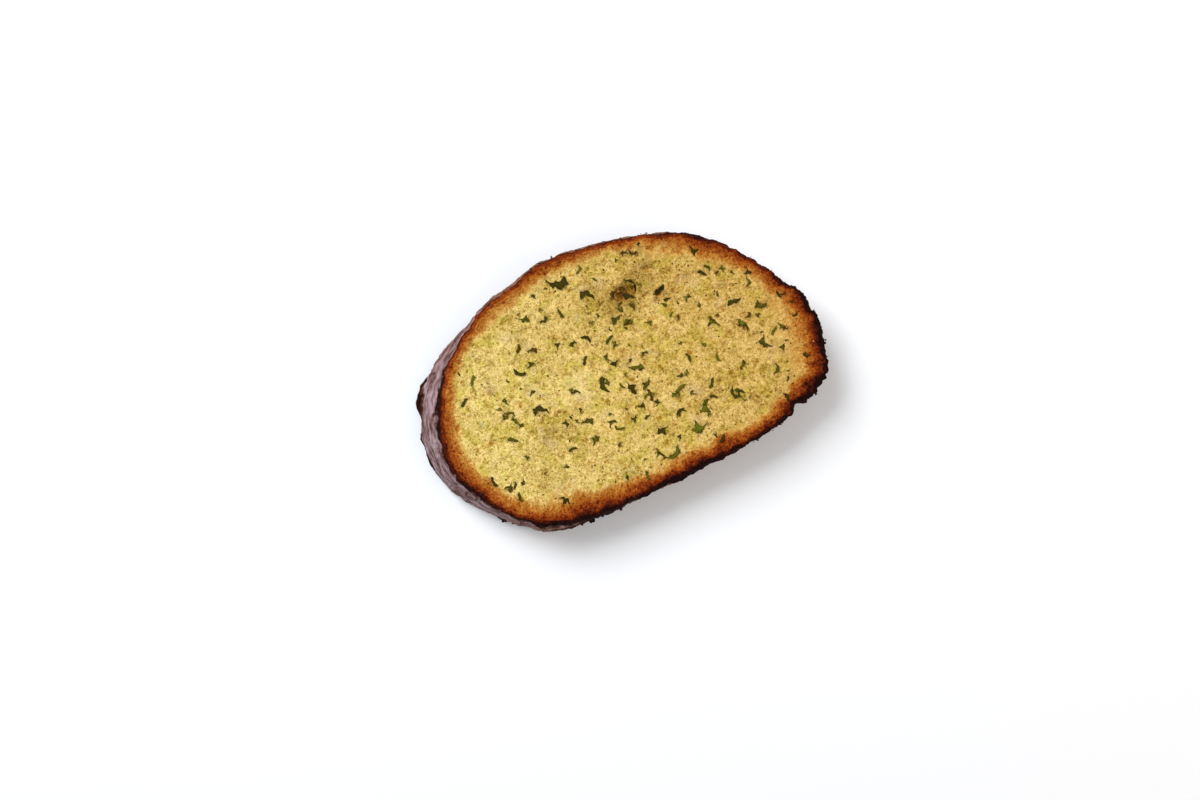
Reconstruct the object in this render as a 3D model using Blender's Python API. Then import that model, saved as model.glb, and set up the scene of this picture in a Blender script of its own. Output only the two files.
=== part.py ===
"""Garlic toast: one thick slice of an oblong white loaf, cut on the bias, buttered, toasted and strewn
with parsley. It lies cut face up. The slice, its pores and the parsley on it are one solid."""

import math
import random

import bmesh
import bpy
import numpy as np
from mathutils import Matrix, Vector, noise
from mathutils.kdtree import KDTree

MM = 0.001

# The slice. X runs along its long side, +Y towards the domed top of the loaf.
THICKNESS = 19.0 * MM
# The bias cut leans the crust: out under the cut face at the left end, in at the right end. Each lean is
# a direction from the middle and its reach to the right and left of it in degrees, and how far out the
# foot of the crust then lies, in millimetres.
LEANS = ((167.0, 25.0, 46.0, 10.3), (-12.0, 60.0, 60.0, -6.0), (-167.0, 18.0, 24.0, -2.1))
BULGE = 0.9 * MM  # of the crust wall, halfway down
FOOT_INSET = 1.6 * MM  # the crust turns under towards the flat underside
FOOT_HEIGHT = 1.3 * MM

# The cut face's edge, in millimetres, anticlockwise from the right end: a flat loaf bottom along -Y,
# a dome along +Y, a blunt left end and a narrower right end.
EDGE_POINTS = (
    (70.5, -9.0), (64.5, 9.0), (50.0, 29.8), (30.0, 42.2), (-5.0, 49.4), (-25.0, 46.1), (-38.3, 42.0),
    (-57.5, 28.0), (-69.0, 4.5), (-65.9, -15.0), (-49.6, -34.4), (-33.0, -39.2), (0.0, -40.2), (40.0, -38.3),
    (62.5, -28.5),
)
EDGE_SAMPLES = 1440

# Crags of the burnt crust: a notch, crumbly nubs beside it, and small roughness everywhere.
NOTCH_AT, NOTCH_DEPTH, NOTCH_WIDTH = Vector((50.6, -34.4)) * MM, 3.2 * MM, 1.7 * MM
NUBS = ((64.0, -26.8, 2.7, 4.2), (57.0, -32.8, 1.3, 3.0))  # centre, height and width in millimetres
CRAG_HEIGHT = 1.0 * MM
CRAG_LENGTH, CRAG_DROP = 6.0 * MM, 4.5 * MM  # wavelengths round the slice and down its crust

# The rim of the cut face: a dried lip that stands up over the crumb and rounds over to the crust.
RIM_WIDTH = 3.4 * MM
LIP_AT, LIP_HEIGHT = 2.0 * MM, 0.7 * MM
DISH = 0.8 * MM  # the buttered middle has sunk this much
RELIEF = ((26.0 * MM, 0.55 * MM), (8.0 * MM, 0.28 * MM))  # wavelength and height of the crumb's unevenness

# The solid's fineness
COLUMNS, ROWS = 42, 27
WALL_STEPS = (0.06, 0.22, 0.4, 0.58, 0.76)

# Holes in the crumb: centre, length, width and depth in millimetres, turn in degrees.
HOLES = (
    (12.6, 27.6, 8.8, 6.4, 2.6, 12.0),
    (23.4, 21.4, 5.8, 4.6, 1.7, 50.0),
    (23.0, 32.0, 5.6, 2.4, 1.2, -20.0),
)
PORE_SEED = 11
PORES = 22
PORE_LENGTH = (1.9 * MM, 3.4 * MM)
PORE_DEPTH = 0.5  # of its length

# Scraps of parsley. A kind is a scrap's half width, the height of its two teeth and its bend, as shares
# of its length, and its segments.
LEAF = (0.13, 0.2, 0.45, 6)
STRIP = (0.085, 0.07, 0.9, 4)
# The largest scraps: centre and length in millimetres, turn in degrees and kind. The rest are strewn by
# rule between them.
PARSLEY = (
    (-8, 41, 8.8, -33, LEAF), (0, 32, 6.2, -53, LEAF), (13.6, 26, 5.2, -40, LEAF), (24, 23.5, 4.6, 15, STRIP),
    (40, 31, 4.2, -85, LEAF), (40, 22, 3.8, -50, STRIP), (6, 20, 5.0, 25, LEAF), (-24, 34, 4.3, -30, LEAF),
    (-18, 31, 3.9, -10, LEAF), (-26, 23, 3.9, -5, LEAF), (-8, 1, 6.4, -90, STRIP), (0, -4, 5.6, -75, LEAF),
    (5, 2, 5.6, -20, STRIP), (16, -12, 5.3, 30, STRIP), (33, -21, 4.6, -75, STRIP), (50, -10, 5.6, -45, LEAF),
    (45, 0, 4.6, -85, LEAF), (37, 5, 5.3, -63, LEAF), (46, 8, 5.3, -5, STRIP), (21, -20.5, 6.0, 40, LEAF),
    (16.5, -26.5, 6.6, 0, LEAF), (4, -22, 4.8, 15, LEAF), (4, -31, 6.0, 25, STRIP), (-19, -8, 5.0, -5, LEAF),
    (-19, -16, 4.2, 25, LEAF), (-32, 2, 6.6, -40, LEAF), (-33, 18, 5.0, -53, STRIP), (-38, -30, 4.6, -50, LEAF),
)
STREWN_SEED = 5
STREWN = 46
STREWN_LENGTH = (2.5 * MM, 4.2 * MM)
THICK_OF_IT, THICK_SPREAD = Vector((18.0, 3.0)) * MM, Vector((38.0, 22.0)) * MM  # most fell round here
THINNEST = 0.3  # share of that density far from there
CLEAR_OF_EDGE = 5.0 * MM
FLAKE_GAP = 1.3 * MM
TOOTH_REACH, TOOTH_WIDTH = 0.3, 0.13  # of a scrap's length
FLAKE_PROUD = 0.5 * MM
FLAKE_SUNK = 1.3 * MM

CRUMB_COLOUR = (0.60, 0.40, 0.12, 1.0)
PARSLEY_COLOUR = (0.035, 0.055, 0.012, 1.0)


def smooth_loop(points, samples):
    """A closed smooth curve through the points, as samples at equal steps along it."""
    rows = []
    for before, start, end, after in zip(
        np.roll(points, 1, 0), points, np.roll(points, -1, 0), np.roll(points, -2, 0)
    ):
        t = np.linspace(0.0, 1.0, 64, endpoint=False)[:, None]
        rows.append(
            start
            + 0.5 * t * (end - before)
            + t**2 * (before - 2.5 * start + 2 * end - 0.5 * after)
            + t**3 * (1.5 * (start - end) + 0.5 * (after - before))
        )
    fine = np.concatenate(rows)
    closed = np.vstack([fine, fine[:1]])
    run = np.concatenate([[0.0], np.cumsum(np.hypot(*np.diff(closed, axis=0).T))])
    at = np.linspace(0.0, run[-1], samples, endpoint=False)
    return np.column_stack([np.interp(at, run, closed[:, axis]) for axis in range(2)])


EDGE = smooth_loop(np.array(EDGE_POINTS) * MM, EDGE_SAMPLES)
TANGENT = np.roll(EDGE, -3, 0) - np.roll(EDGE, 3, 0)
OUTWARD = np.column_stack([TANGENT[:, 1], -TANGENT[:, 0]]) / np.hypot(*TANGENT.T)[:, None]
EDGE_TREE = KDTree(EDGE_SAMPLES)
for number, (x, y) in enumerate(EDGE):
    EDGE_TREE.insert((x, y, 0.0), number)
EDGE_TREE.balance()


def edge_point(share, outset=0.0):
    """The point at this share of the way round the cut face's edge, moved outwards by the outset."""
    index = int(round(share * EDGE_SAMPLES)) % EDGE_SAMPLES
    return Vector(EDGE[index] + OUTWARD[index] * outset)


def inside_edge(point):
    """How far inside the cut face's edge the point lies; negative outside it."""
    _, index, distance = EDGE_TREE.find((point.x, point.y, 0.0))
    outside = (point - Vector(EDGE[index])).dot(Vector(OUTWARD[index])) > 0
    return -distance if outside else distance


def bump(distance, width):
    return math.exp(-((distance / width) ** 2))


def lean(point):
    """How far the foot of the crust lies outside the cut face's edge here."""
    angle = math.degrees(math.atan2(point.y, point.x))
    total = 0.0
    for at, right, left, reach in LEANS:
        away = (angle - at + 180.0) % 360.0 - 180.0
        total += reach * MM * bump(away, left if away > 0.0 else right)
    return total


def crag(point, depth):
    """How far the burnt crust stands out of its smooth outline here, at this share of the way down."""
    drop = depth * THICKNESS
    wander = noise.noise(Vector((point.x / CRAG_LENGTH, point.y / CRAG_LENGTH, drop / CRAG_DROP)))
    burnt = 1.0 if point.x > 30 * MM or point.y < -20 * MM else 0.6
    top = max(0.0, 1.0 - 2.0 * depth)
    notch = NOTCH_DEPTH * bump((point - NOTCH_AT).length, NOTCH_WIDTH)
    nubs = sum(rise * bump((point - Vector((x, y)) * MM).length, wide * MM) for x, y, rise, wide in NUBS) * MM
    return wander * burnt * CRAG_HEIGHT + (nubs - notch) * top


def crumb_height(point):
    """Height of the cut face at a point of it, without its pores."""
    inside = inside_edge(point)
    height = THICKNESS - DISH * (1.0 - bump(inside, 14 * MM))
    height += LIP_HEIGHT * bump(inside - LIP_AT, 1.9 * MM)
    for length, rise in RELIEF:
        height += rise * noise.noise(Vector((point.x, point.y, length)) / length)
    return height


def hole_depth(point, hole):
    """Depth of a bowl-shaped hole at a point, zero outside it."""
    x, y, length, width, depth, turn = hole
    local = Matrix.Rotation(math.radians(-turn), 2) @ (point - Vector((x, y)) * MM)
    share = (2 * local.x / (length * MM)) ** 2 + (2 * local.y / (width * MM)) ** 2
    return depth * MM * math.sqrt(max(0.0, 1.0 - share))


def face_height(point):
    return crumb_height(point) - max(hole_depth(point, hole) for hole in HOLES)


def collection(name, hidden=False):
    made = bpy.data.collections.new(name)
    bpy.context.scene.collection.children.link(made)
    made.hide_render = hidden
    return made


def material(name, colour, roughness):
    made = bpy.data.materials.new(name)
    made.use_nodes = True
    shader = made.node_tree.nodes["Principled BSDF"]
    shader.inputs["Base Color"].default_value = colour
    shader.inputs["Roughness"].default_value = roughness
    shader.inputs["Metallic"].default_value = 0.0
    made.diffuse_color = colour
    return made


def object_of(shape, name, where, finish):
    """A new object that holds the bmesh."""
    bmesh.ops.recalc_face_normals(shape, faces=shape.faces)
    mesh = bpy.data.meshes.new(name)
    shape.to_mesh(mesh)
    shape.free()
    mesh.materials.append(finish)
    made = bpy.data.objects.new(name, mesh)
    where.objects.link(made)
    return made


def share_round(u, v):
    """Place of a grid point's ray on the grid's outer edge, as a share of the way round from its right end."""
    reach = max(abs(u), abs(v), 1e-9)
    u, v = u / reach, v / reach
    whole = 4.0 * (COLUMNS + ROWS)
    if u > 0.999999:
        run = v * ROWS
    elif v > 0.999999:
        run = ROWS + (1.0 - u) * COLUMNS
    elif u < -0.999999:
        run = ROWS + 2.0 * COLUMNS + (1.0 - v) * ROWS
    else:
        run = 3.0 * ROWS + 2.0 * COLUMNS + (u + 1.0) * COLUMNS
    return (run / whole) % 1.0


def ring_point(share, inset, depth):
    """A point of the crust at this share of the way round and of the way down."""
    smooth = edge_point(share)
    outset = crag(smooth, depth) + BULGE * math.sin(math.pi * depth) + lean(smooth) * depth - inset
    return edge_point(share, outset)


def build_slice(where, finish):
    """The slice: a grid bent to the cut face's outline, whose border is extruded over the rim and down
    the crust to a flat underside."""
    shape = bmesh.new()
    bmesh.ops.create_grid(shape, x_segments=COLUMNS, y_segments=ROWS, size=1.0)
    border = [edge for edge in shape.edges if edge.is_boundary]
    corners = {corner for edge in border for corner in edge.verts}
    shares = {}
    for point in shape.verts:
        u, v = point.co.x, point.co.y
        share = share_round(u, v)
        reach = max(abs(u), abs(v))
        point.co = (edge_point(share, crag(edge_point(share), 0.0) - RIM_WIDTH) * reach).to_3d()
        if point in corners:
            shares[point] = share
    middle = [point for point in shape.verts if point not in corners]
    for _ in range(8):
        bmesh.ops.smooth_vert(shape, verts=middle, factor=0.5, use_axis_x=True, use_axis_y=True)
    for point in shape.verts:
        point.co.z = crumb_height(point.co.to_2d())

    rings = [(1.9 * MM, 0.0, None), (0.45 * MM, 0.0, None)]
    rings += [(0.0, depth, THICKNESS * (1.0 - depth)) for depth in WALL_STEPS]
    rings += [(0.25 * MM, 0.93, FOOT_HEIGHT), (FOOT_INSET, 1.0, 0.0)]
    ring = border
    for inset, depth, height in rings:
        found = bmesh.ops.extrude_edge_only(shape, edges=ring)["geom"]
        before = {point for edge in ring for point in edge.verts}
        ring = [item for item in found if isinstance(item, bmesh.types.BMEdge)]
        here = {point for edge in ring for point in edge.verts}
        for point in before:
            for edge in point.link_edges:
                other = edge.other_vert(point)
                if other in here:
                    shares[other] = shares[point]
        for point in here:
            flat = ring_point(shares[point], inset, depth)
            rise = crumb_height(flat) if height is None else height
            point.co = (flat.x, flat.y, rise)
    bmesh.ops.contextual_create(shape, geom=ring)
    return object_of(shape, "garlic_toast", where, finish)


def apply_boolean(target, operation, others):
    """Joins or cuts with every object of a collection in one Boolean, and applies it."""
    step = target.modifiers.new(operation.title(), "BOOLEAN")
    step.operation = operation
    step.solver = "EXACT"
    step.operand_type = "COLLECTION"
    step.collection = others
    graph = bpy.context.evaluated_depsgraph_get()
    result = bpy.data.meshes.new_from_object(target.evaluated_get(graph))
    target.modifiers.remove(step)
    target.data = result


def clear(where):
    for made in list(where.objects):
        bpy.data.objects.remove(made, do_unlink=True)
    bpy.data.collections.remove(where)


def build_pore(place, size, turn, where, finish):
    """A bowl cutter: a sphere that reaches the given depth under the cut face."""
    length, width, depth = size
    shape = bmesh.new()
    bmesh.ops.create_icosphere(shape, subdivisions=2 if length > 5 * MM else 1, radius=1.0)
    for point in shape.verts:
        point.co *= 1.0 + 0.12 * noise.noise(point.co * 1.7 + place.to_3d() / MM)
    bmesh.ops.scale(shape, vec=(length / 2, width / 2, depth), verts=shape.verts)
    bmesh.ops.rotate(shape, matrix=Matrix.Rotation(math.radians(turn), 3, "Z"), verts=shape.verts)
    bmesh.ops.translate(shape, vec=(place.x, place.y, crumb_height(place)), verts=shape.verts)
    made = object_of(shape, "pore", where, finish)
    made.display_type = "WIRE"
    made.hide_render = True
    return made


def thickness_strewn(place):
    """Density of the strewn parsley at a place, as a share of the densest."""
    away = place - THICK_OF_IT
    away = Vector((away.x / THICK_SPREAD.x, away.y / THICK_SPREAD.y))
    return THINNEST + (1.0 - THINNEST) * math.exp(-away.length_squared)


def strewn_places(count, seed, clear_of, density):
    """Places drawn over the cut face by a density, each clear of the edge and of the places before it."""
    draw = random.Random(seed)
    taken = list(clear_of)
    found = []
    while len(found) < count:
        place = Vector((draw.uniform(-70, 70), draw.uniform(-41, 50))) * MM
        share = draw.random()
        turn = draw.uniform(-180, 180)
        if draw.random() > density(place) or inside_edge(place) < CLEAR_OF_EDGE:
            continue
        if any((place - other).length < gap for other, gap in taken):
            continue
        found.append((place, share, turn))
        taken.append((place, 2.0 * FLAKE_GAP + 2.6 * MM))
    return found


def parsley_pieces():
    """Centre, length, turn and kind of every piece of parsley."""
    pieces = [(Vector((x, y)) * MM, length * MM, turn, kind) for x, y, length, turn, kind in PARSLEY]
    clear_of = [(place, length / 2 + FLAKE_GAP + 1.6 * MM) for place, length, _, _ in pieces]
    clear_of += [(Vector(hole[:2]) * MM, hole[2] * MM / 2 + 2.0 * MM) for hole in HOLES]
    low, high = STREWN_LENGTH
    for place, share, turn in strewn_places(STREWN, STREWN_SEED, clear_of, thickness_strewn):
        kind = LEAF if share < 0.55 else STRIP
        pieces.append((place, low + (high - low) * share, turn, kind))
    return pieces


def half_width(along, side, shift, kind):
    """Half width of a scrap on one side of it, 1 or -1, at a place along it from -0.5 to 0.5, as a share
    of its length. Each side has a tooth at a place of its own."""
    body, tooth = kind[:2]
    taper = 1.0 - 0.85 * abs(2.0 * along) ** 3
    tooth_at = TOOTH_REACH * math.sin(1.7 * shift + 1.3 * side)
    return taper * (body + tooth * bump(along - tooth_at, TOOTH_WIDTH))


def build_scrap(length, shift, kind):
    """A ragged scrap of leaf or stem, flat, bent along an arc and narrowed to its ends."""
    _, _, bend, segments = kind
    shape = bmesh.new()
    bmesh.ops.create_grid(shape, x_segments=segments, y_segments=1, size=0.5)
    for point in shape.verts:
        along, across = point.co.x, 2.0 * point.co.y
        arc = (0.25 - along**2) * bend * math.sin(shift)
        wide = across * half_width(along, math.copysign(1.0, across), shift, kind)
        point.co = Vector((along, arc + wide, 0.0)) * length
    return shape


def build_flake(piece, where, finish):
    """One piece of parsley, as a thick scrap sunk in the crumb and proud of it by its own thickness."""
    place, length, turn, kind = piece
    shift = (place.x * 7.0 + place.y * 3.0) / MM
    shape = build_scrap(length, shift, kind)
    raised = bmesh.ops.extrude_face_region(shape, geom=shape.faces[:])["geom"]
    top = [item for item in raised if isinstance(item, bmesh.types.BMVert)]
    bmesh.ops.translate(shape, vec=(0.0, 0.0, FLAKE_PROUD + FLAKE_SUNK), verts=top)
    bmesh.ops.rotate(shape, matrix=Matrix.Rotation(math.radians(turn), 3, "Z"), verts=shape.verts)
    for point in shape.verts:
        flat = place + point.co.to_2d()
        point.co = (flat.x, flat.y, point.co.z + face_height(flat) - FLAKE_SUNK)
    return object_of(shape, "flake", where, finish)


def build_pores(pieces, where, finish):
    """The named holes, and small pores strewn clear of the parsley."""
    for x, y, length, width, depth, turn in HOLES:
        build_pore(Vector((x, y)) * MM, Vector((length, width, depth)) * MM, turn, where, finish)
    clear_of = [(place, length / 2 + FLAKE_GAP + PORE_LENGTH[1] / 2) for place, length, _, _ in pieces]
    clear_of += [(Vector(hole[:2]) * MM, hole[2] * MM / 2 + PORE_LENGTH[1]) for hole in HOLES]
    low, high = PORE_LENGTH
    for place, share, turn in strewn_places(PORES, PORE_SEED, clear_of, lambda place: 1.0):
        length = low + (high - low) * share**2
        size = Vector((length, length * (0.6 + 0.3 * share), length * PORE_DEPTH))
        build_pore(place, size, turn, where, finish)


def centre_on_origin(toast):
    """Puts the middle of the slice's underside box at the origin."""
    corners = np.array([point.co for point in toast.data.vertices])
    low, high = corners.min(axis=0), corners.max(axis=0)
    toast.data.transform(Matrix.Translation((-(low[0] + high[0]) / 2, -(low[1] + high[1]) / 2, -low[2])))


def main():
    for old in list(bpy.data.objects):
        bpy.data.objects.remove(old, do_unlink=True)
    crumb = material("toasted_bread", CRUMB_COLOUR, 0.85)
    green = material("parsley", PARSLEY_COLOUR, 0.7)
    garlic_toast = collection("garlic_toast")
    pores = collection("pores", hidden=True)
    parsley = collection("parsley_pieces", hidden=True)

    toast = build_slice(garlic_toast, crumb)
    pieces = parsley_pieces()
    build_pores(pieces, pores, crumb)
    apply_boolean(toast, "DIFFERENCE", pores)
    for piece in pieces:
        build_flake(piece, parsley, green)
    apply_boolean(toast, "UNION", parsley)
    clear(pores)
    clear(parsley)
    centre_on_origin(toast)
    toast.data.set_sharp_from_angle(angle=math.radians(40))


main()
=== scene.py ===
"""Garlic toast: the looks of one thick, bias-cut slice of an oblong white loaf, buttered, toasted and
strewn with parsley. Each piece is built by an operator from the sizes and colours in its settings."""

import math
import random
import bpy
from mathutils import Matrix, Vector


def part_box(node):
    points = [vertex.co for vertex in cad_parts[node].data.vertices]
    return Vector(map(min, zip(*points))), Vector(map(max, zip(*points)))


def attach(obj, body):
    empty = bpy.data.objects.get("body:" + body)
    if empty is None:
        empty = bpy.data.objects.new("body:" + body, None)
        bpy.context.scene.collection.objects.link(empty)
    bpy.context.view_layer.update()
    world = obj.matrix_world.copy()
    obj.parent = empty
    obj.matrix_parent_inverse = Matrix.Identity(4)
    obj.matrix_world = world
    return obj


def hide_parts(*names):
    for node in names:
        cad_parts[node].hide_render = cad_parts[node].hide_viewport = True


bl_info = {
    "name": "Garlic Toast",
    "version": (1, 0, 0),
    "blender": (4, 5, 0),
    "location": "3D View > Sidebar > Toast",
    "description": "Builds a slice of garlic toast with its crumb, crust, parsley, butter and crumbs",
    "category": "Add Mesh",
}

import bmesh
import bpy
import numpy as np
from mathutils import Euler, Matrix, Vector, noise
from mathutils.kdtree import KDTree

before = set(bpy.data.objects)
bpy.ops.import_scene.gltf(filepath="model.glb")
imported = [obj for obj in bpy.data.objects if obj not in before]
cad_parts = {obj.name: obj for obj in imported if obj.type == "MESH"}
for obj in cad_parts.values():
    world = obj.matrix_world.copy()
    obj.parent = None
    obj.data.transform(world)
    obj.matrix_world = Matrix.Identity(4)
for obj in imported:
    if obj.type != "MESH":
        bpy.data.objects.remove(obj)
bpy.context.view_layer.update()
SLICE_LOW, SLICE_HIGH = (Vector(corner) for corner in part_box("garlic_toast"))

MM = 0.001
NODE = "garlic_toast"
BODY = "root"

# The slice, as its solid has it. X runs along its long side, +Y towards the domed top of the loaf.
# Bare lengths in the tables are millimetres and bare angles are degrees. A lean is its direction, its
# reach to either side of it and how far the foot stands out there; a hole is its centre, length, width,
# depth and turn.
THICKNESS = 19.0 * MM
LEANS = ((167.0, 25.0, 46.0, 10.3), (-12.0, 60.0, 60.0, -6.0), (-167.0, 18.0, 24.0, -2.1))
BULGE = 0.9 * MM
FOOT_INSET = 1.6 * MM
FOOT_HEIGHT = 1.3 * MM
EDGE_POINTS = (
    (70.5, -9.0), (64.5, 9.0), (50.0, 29.8), (30.0, 42.2), (-5.0, 49.4),
    (-25.0, 46.1), (-38.3, 42.0), (-57.5, 28.0), (-69.0, 4.5), (-65.9, -15.0),
    (-49.6, -34.4), (-33.0, -39.2), (0.0, -40.2), (40.0, -38.3), (62.5, -28.5),
)
EDGE_SAMPLES = 2880
CURVE_STEPS, TANGENT_REACH = 64, 6  # between two named points; in samples
NOTCH_AT, NOTCH_DEPTH, NOTCH_WIDTH = Vector((50.6, -34.4)) * MM, 3.2 * MM, 1.7 * MM
NUBS = ((64.0, -26.8, 2.7, 4.2), (57.0, -32.8, 1.3, 3.0))  # centre, height and width
CRAG_HEIGHT = 1.0 * MM
BURNT_FROM_X, BURNT_BELOW_Y, LIGHT_CRAGS = 30.0 * MM, -20.0 * MM, 0.6  # crags are full past these
CRAG_LENGTH, CRAG_DROP = 6.0 * MM, 4.5 * MM
LIP_AT, LIP_HEIGHT = 2.0 * MM, 0.7 * MM
LIP_WIDTH = 1.9 * MM
DIP, DIP_REACH = 0.8 * MM, 14.0 * MM  # the cut face sinks by this, this far inside its edge
RELIEF = ((26.0 * MM, 0.55 * MM), (8.0 * MM, 0.28 * MM))
HOLES = (
    (12.6, 27.6, 8.8, 6.4, 2.6, 12.0),
    (23.4, 21.4, 5.8, 4.6, 1.7, 50.0),
    (23.0, 32.0, 5.6, 2.4, 1.2, -20.0),
)
PORE_SEED, PORES = 11, 22
PORE_LENGTH, PORE_DEPTH = (1.9 * MM, 3.4 * MM), 0.5  # the depth is a share of the length
PORE_WIDTH, PORE_WIDENS = 0.3, 0.15  # half a pore's width, as a share of its length
PORE_SHARE = 0.5  # of the solid's coarse pores' depth
CRUMB_INSET = 1.2 * MM  # of the crumb's edge inside the crust
CELLS_FROM = 3.0 * MM  # the crumb's cells have their full depth this far inside the edge
CELL_SEED = 7  # of the noise that bends the cells; without it they differ from run to run
TUCK_DEPTH, TUCK_WIDTH = 0.7 * MM, 0.4 * MM  # of the crumb's edge under the crust's lip
UNDER_TUCK = 0.4 * MM  # of the underside's edge, in and up
UNDER_TOAST, UNDER_EDGE_TOAST, UNDER_EDGE = 0.34, 0.5, 8.0 * MM
SHOULDER = 1.0 * MM  # the crust's lip rounds over within this
SOLID_MIDDLE = Vector((-3.495, 4.503)) * MM  # of its box, from the middle of the slice
OFFSET = ((SLICE_LOW + SLICE_HIGH).to_2d() / 2 - SOLID_MIDDLE).to_3d()  # of the slice in the frame

# Parsley, as in the solid: centre, length, turn and kind. A kind is a scrap's half width, the height of
# its two teeth and its bend, as shares of its length.
LEAF = (0.13, 0.2, 0.45)
STRIP = (0.085, 0.07, 0.9)
PARSLEY = (
    (-8, 41, 8.8, -33, LEAF), (0, 32, 6.2, -53, LEAF), (13.6, 26, 5.2, -40, LEAF),
    (24, 23.5, 4.6, 15, STRIP), (40, 31, 4.2, -85, LEAF), (40, 22, 3.8, -50, STRIP),
    (6, 20, 5.0, 25, LEAF), (-24, 34, 4.3, -30, LEAF), (-18, 31, 3.9, -10, LEAF),
    (-26, 23, 3.9, -5, LEAF), (-8, 1, 6.4, -90, STRIP), (0, -4, 5.6, -75, LEAF),
    (5, 2, 5.6, -20, STRIP), (16, -12, 5.3, 30, STRIP), (33, -21, 4.6, -75, STRIP),
    (50, -10, 5.6, -45, LEAF), (45, 0, 4.6, -85, LEAF), (37, 5, 5.3, -63, LEAF),
    (46, 8, 5.3, -5, STRIP), (21, -20.5, 6.0, 40, LEAF), (16.5, -26.5, 6.6, 0, LEAF),
    (4, -22, 4.8, 15, LEAF), (4, -31, 6.0, 25, STRIP), (-19, -8, 5.0, -5, LEAF),
    (-19, -16, 4.2, 25, LEAF), (-32, 2, 6.6, -40, LEAF), (-33, 18, 5.0, -53, STRIP),
    (-38, -30, 4.6, -50, LEAF),
)
FACE_X, FACE_Y = (-70, 70), (-41, 50)  # the box that random places on the cut face are drawn from
STREWN_SEED, STREWN = 5, 46
STREWN_LENGTH = (2.5 * MM, 4.2 * MM)
LEAF_SHARE = 0.55  # of the strewn scraps; the others are strips
THICK_OF_IT, THICK_SPREAD = Vector((18.0, 3.0)) * MM, Vector((38.0, 22.0)) * MM
THINNEST = 0.3
CLEAR_OF_EDGE = 5.0 * MM
FLAKE_GAP = 1.3 * MM
STREWN_APART, LARGE_APART, HOLE_APART = 2.6 * MM, 1.6 * MM, 2.0 * MM
TOOTH_REACH, TOOTH_WIDTH = 0.3, 0.13

# Curled strands at the edges of the holes: centre, length and turn, and the kind that they all are.
CURL = (0.05, 0.03, 1.3)
HOLE_CURLS = (
    (15.6, 29.4, 5.5, -60), (8.6, 28.2, 3.4, 60), (9.8, 25.2, 3.0, 20), (24.0, 19.4, 5.0, -10),
    (23.0, 23.4, 3.6, 35),
)
DARK_FROM = 0.3  # a scrap on crumb that is toasted further than this, or in a hole, is dark
LARGE_SCRAP = 4.5 * MM  # a scrap longer than this is seldom brown

# Mesh columns and rows of a scrap; lengths of the scraps too small for the solid, and the share of them
# with a fork; lengths of the flecks, and the tints that they are drawn from.
SCRAP_SEGMENTS = {LEAF: (24, 8), STRIP: (16, 4), CURL: (16, 2)}
SMALL_SEGMENTS, FORK_SEGMENTS = (7, 2), (6, 2)
SMALL_SCRAP = (1.4, 3.8)
FORKED, FORK_TURNS = 0.4, (-70.0, -55.0, 55.0, 70.0)
FORK_AT, FORK_LENGTH = 0.3, 0.7  # as shares of the scrap's length
FLECK = (0.35, 1.1)
FLECK_TINTS = (0.45, 0.55, 0.6, 0.65, 0.9, 1.0)

# How the rim is toasted, by direction from the middle of the slice: a value all round, and arcs that add
# to it. An arc is its middle and its reach in degrees, and what it adds. Toasting runs from 0, pale, to
# 1, black: it has its edge value at the rim, and falls by 1 over the depth. The tail is a second, slower
# fall that reaches further in.
EDGE_TOAST = (0.88, (
    (-167.0, 14.0, 0.12), (-138.0, 9.0, 0.14), (-118.0, 20.0, 0.12), (-62.0, 62.0, 0.28),
    (-42.0, 10.0, -0.07), (-13.0, 18.0, 0.22), (-31.0, 7.0, 0.08), (34.0, 16.0, 0.06),
    (126.0, 8.0, -0.1), (150.0, 16.0, -0.1), (175.0, 8.0, 0.06),
))
TOAST_DEPTH = (10.0, (
    (-167.0, 12.0, 2.0), (-138.0, 13.0, 3.2), (-108.0, 16.0, -1.4), (-42.0, 10.0, -1.0),
    (-20.0, 10.0, -1.2), (38.0, 18.0, 3.2), (68.0, 14.0, -3.0), (127.0, 12.0, 4.4),
    (170.0, 18.0, 1.6),
))
TOAST_TAIL = (0.25, (
    (-144.0, 15.0, 0.6), (-90.0, 10.0, 0.45), (-10.0, 20.0, 0.72), (48.0, 14.0, 0.35), (68.0, 8.0, -0.2),
))
TAIL_DEPTH = 18.0 * MM
TOAST_BEND = 0.5  # below this the toasting falls twice as fast
TOAST_MOST = 1.2  # no point is toasted further

# Toasting and the colour that it gives.
BURN_STOPS = (
    (0.12, "gold"), (0.25, "deep_gold"), (0.37, "amber"), (0.48, "orange_brown"), (0.58, "russet"),
    (0.68, "chestnut"), (0.78, "brown"), (0.88, "dark_brown"), (1.0, "char"),
)

# Height of the outline's small crags in millimetres, by direction.
FINE_CRAGS = (0.4, ((-15.0, 35.0, 0.75), (-85.0, 45.0, 0.35)))

# How far the wall is charred besides its edges, how far down it is charred from the upper edge in
# millimetres, how far a painted lilac sheen, which stands for the reflection of cool light, covers its
# brown, and how far the foot's thin flaps stand out in millimetres.
WALL_CHAR = (0.05, ((-15.0, 50.0, 0.55), (-88.0, 34.0, 0.7), (-127.0, 15.0, 1.2)))
UPPER_CHAR = (1.1, ((95.0, 55.0, -0.5), (-60.0, 65.0, 2.0), (-10.0, 40.0, 3.0), (165.0, 10.0, 2.4)))
# Painted reflection: the lilac sheen of cool light on the crust, strongest at the broad end.
WALL_SHEEN = (0.05, ((178.0, 50.0, 0.9),))
FLAPS = (0.0, ((162.0, 4.0, 1.9), (173.0, 1.3, 0.8), (178.0, 3.0, 0.8), (-157.0, 1.4, 1.0)))

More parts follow.
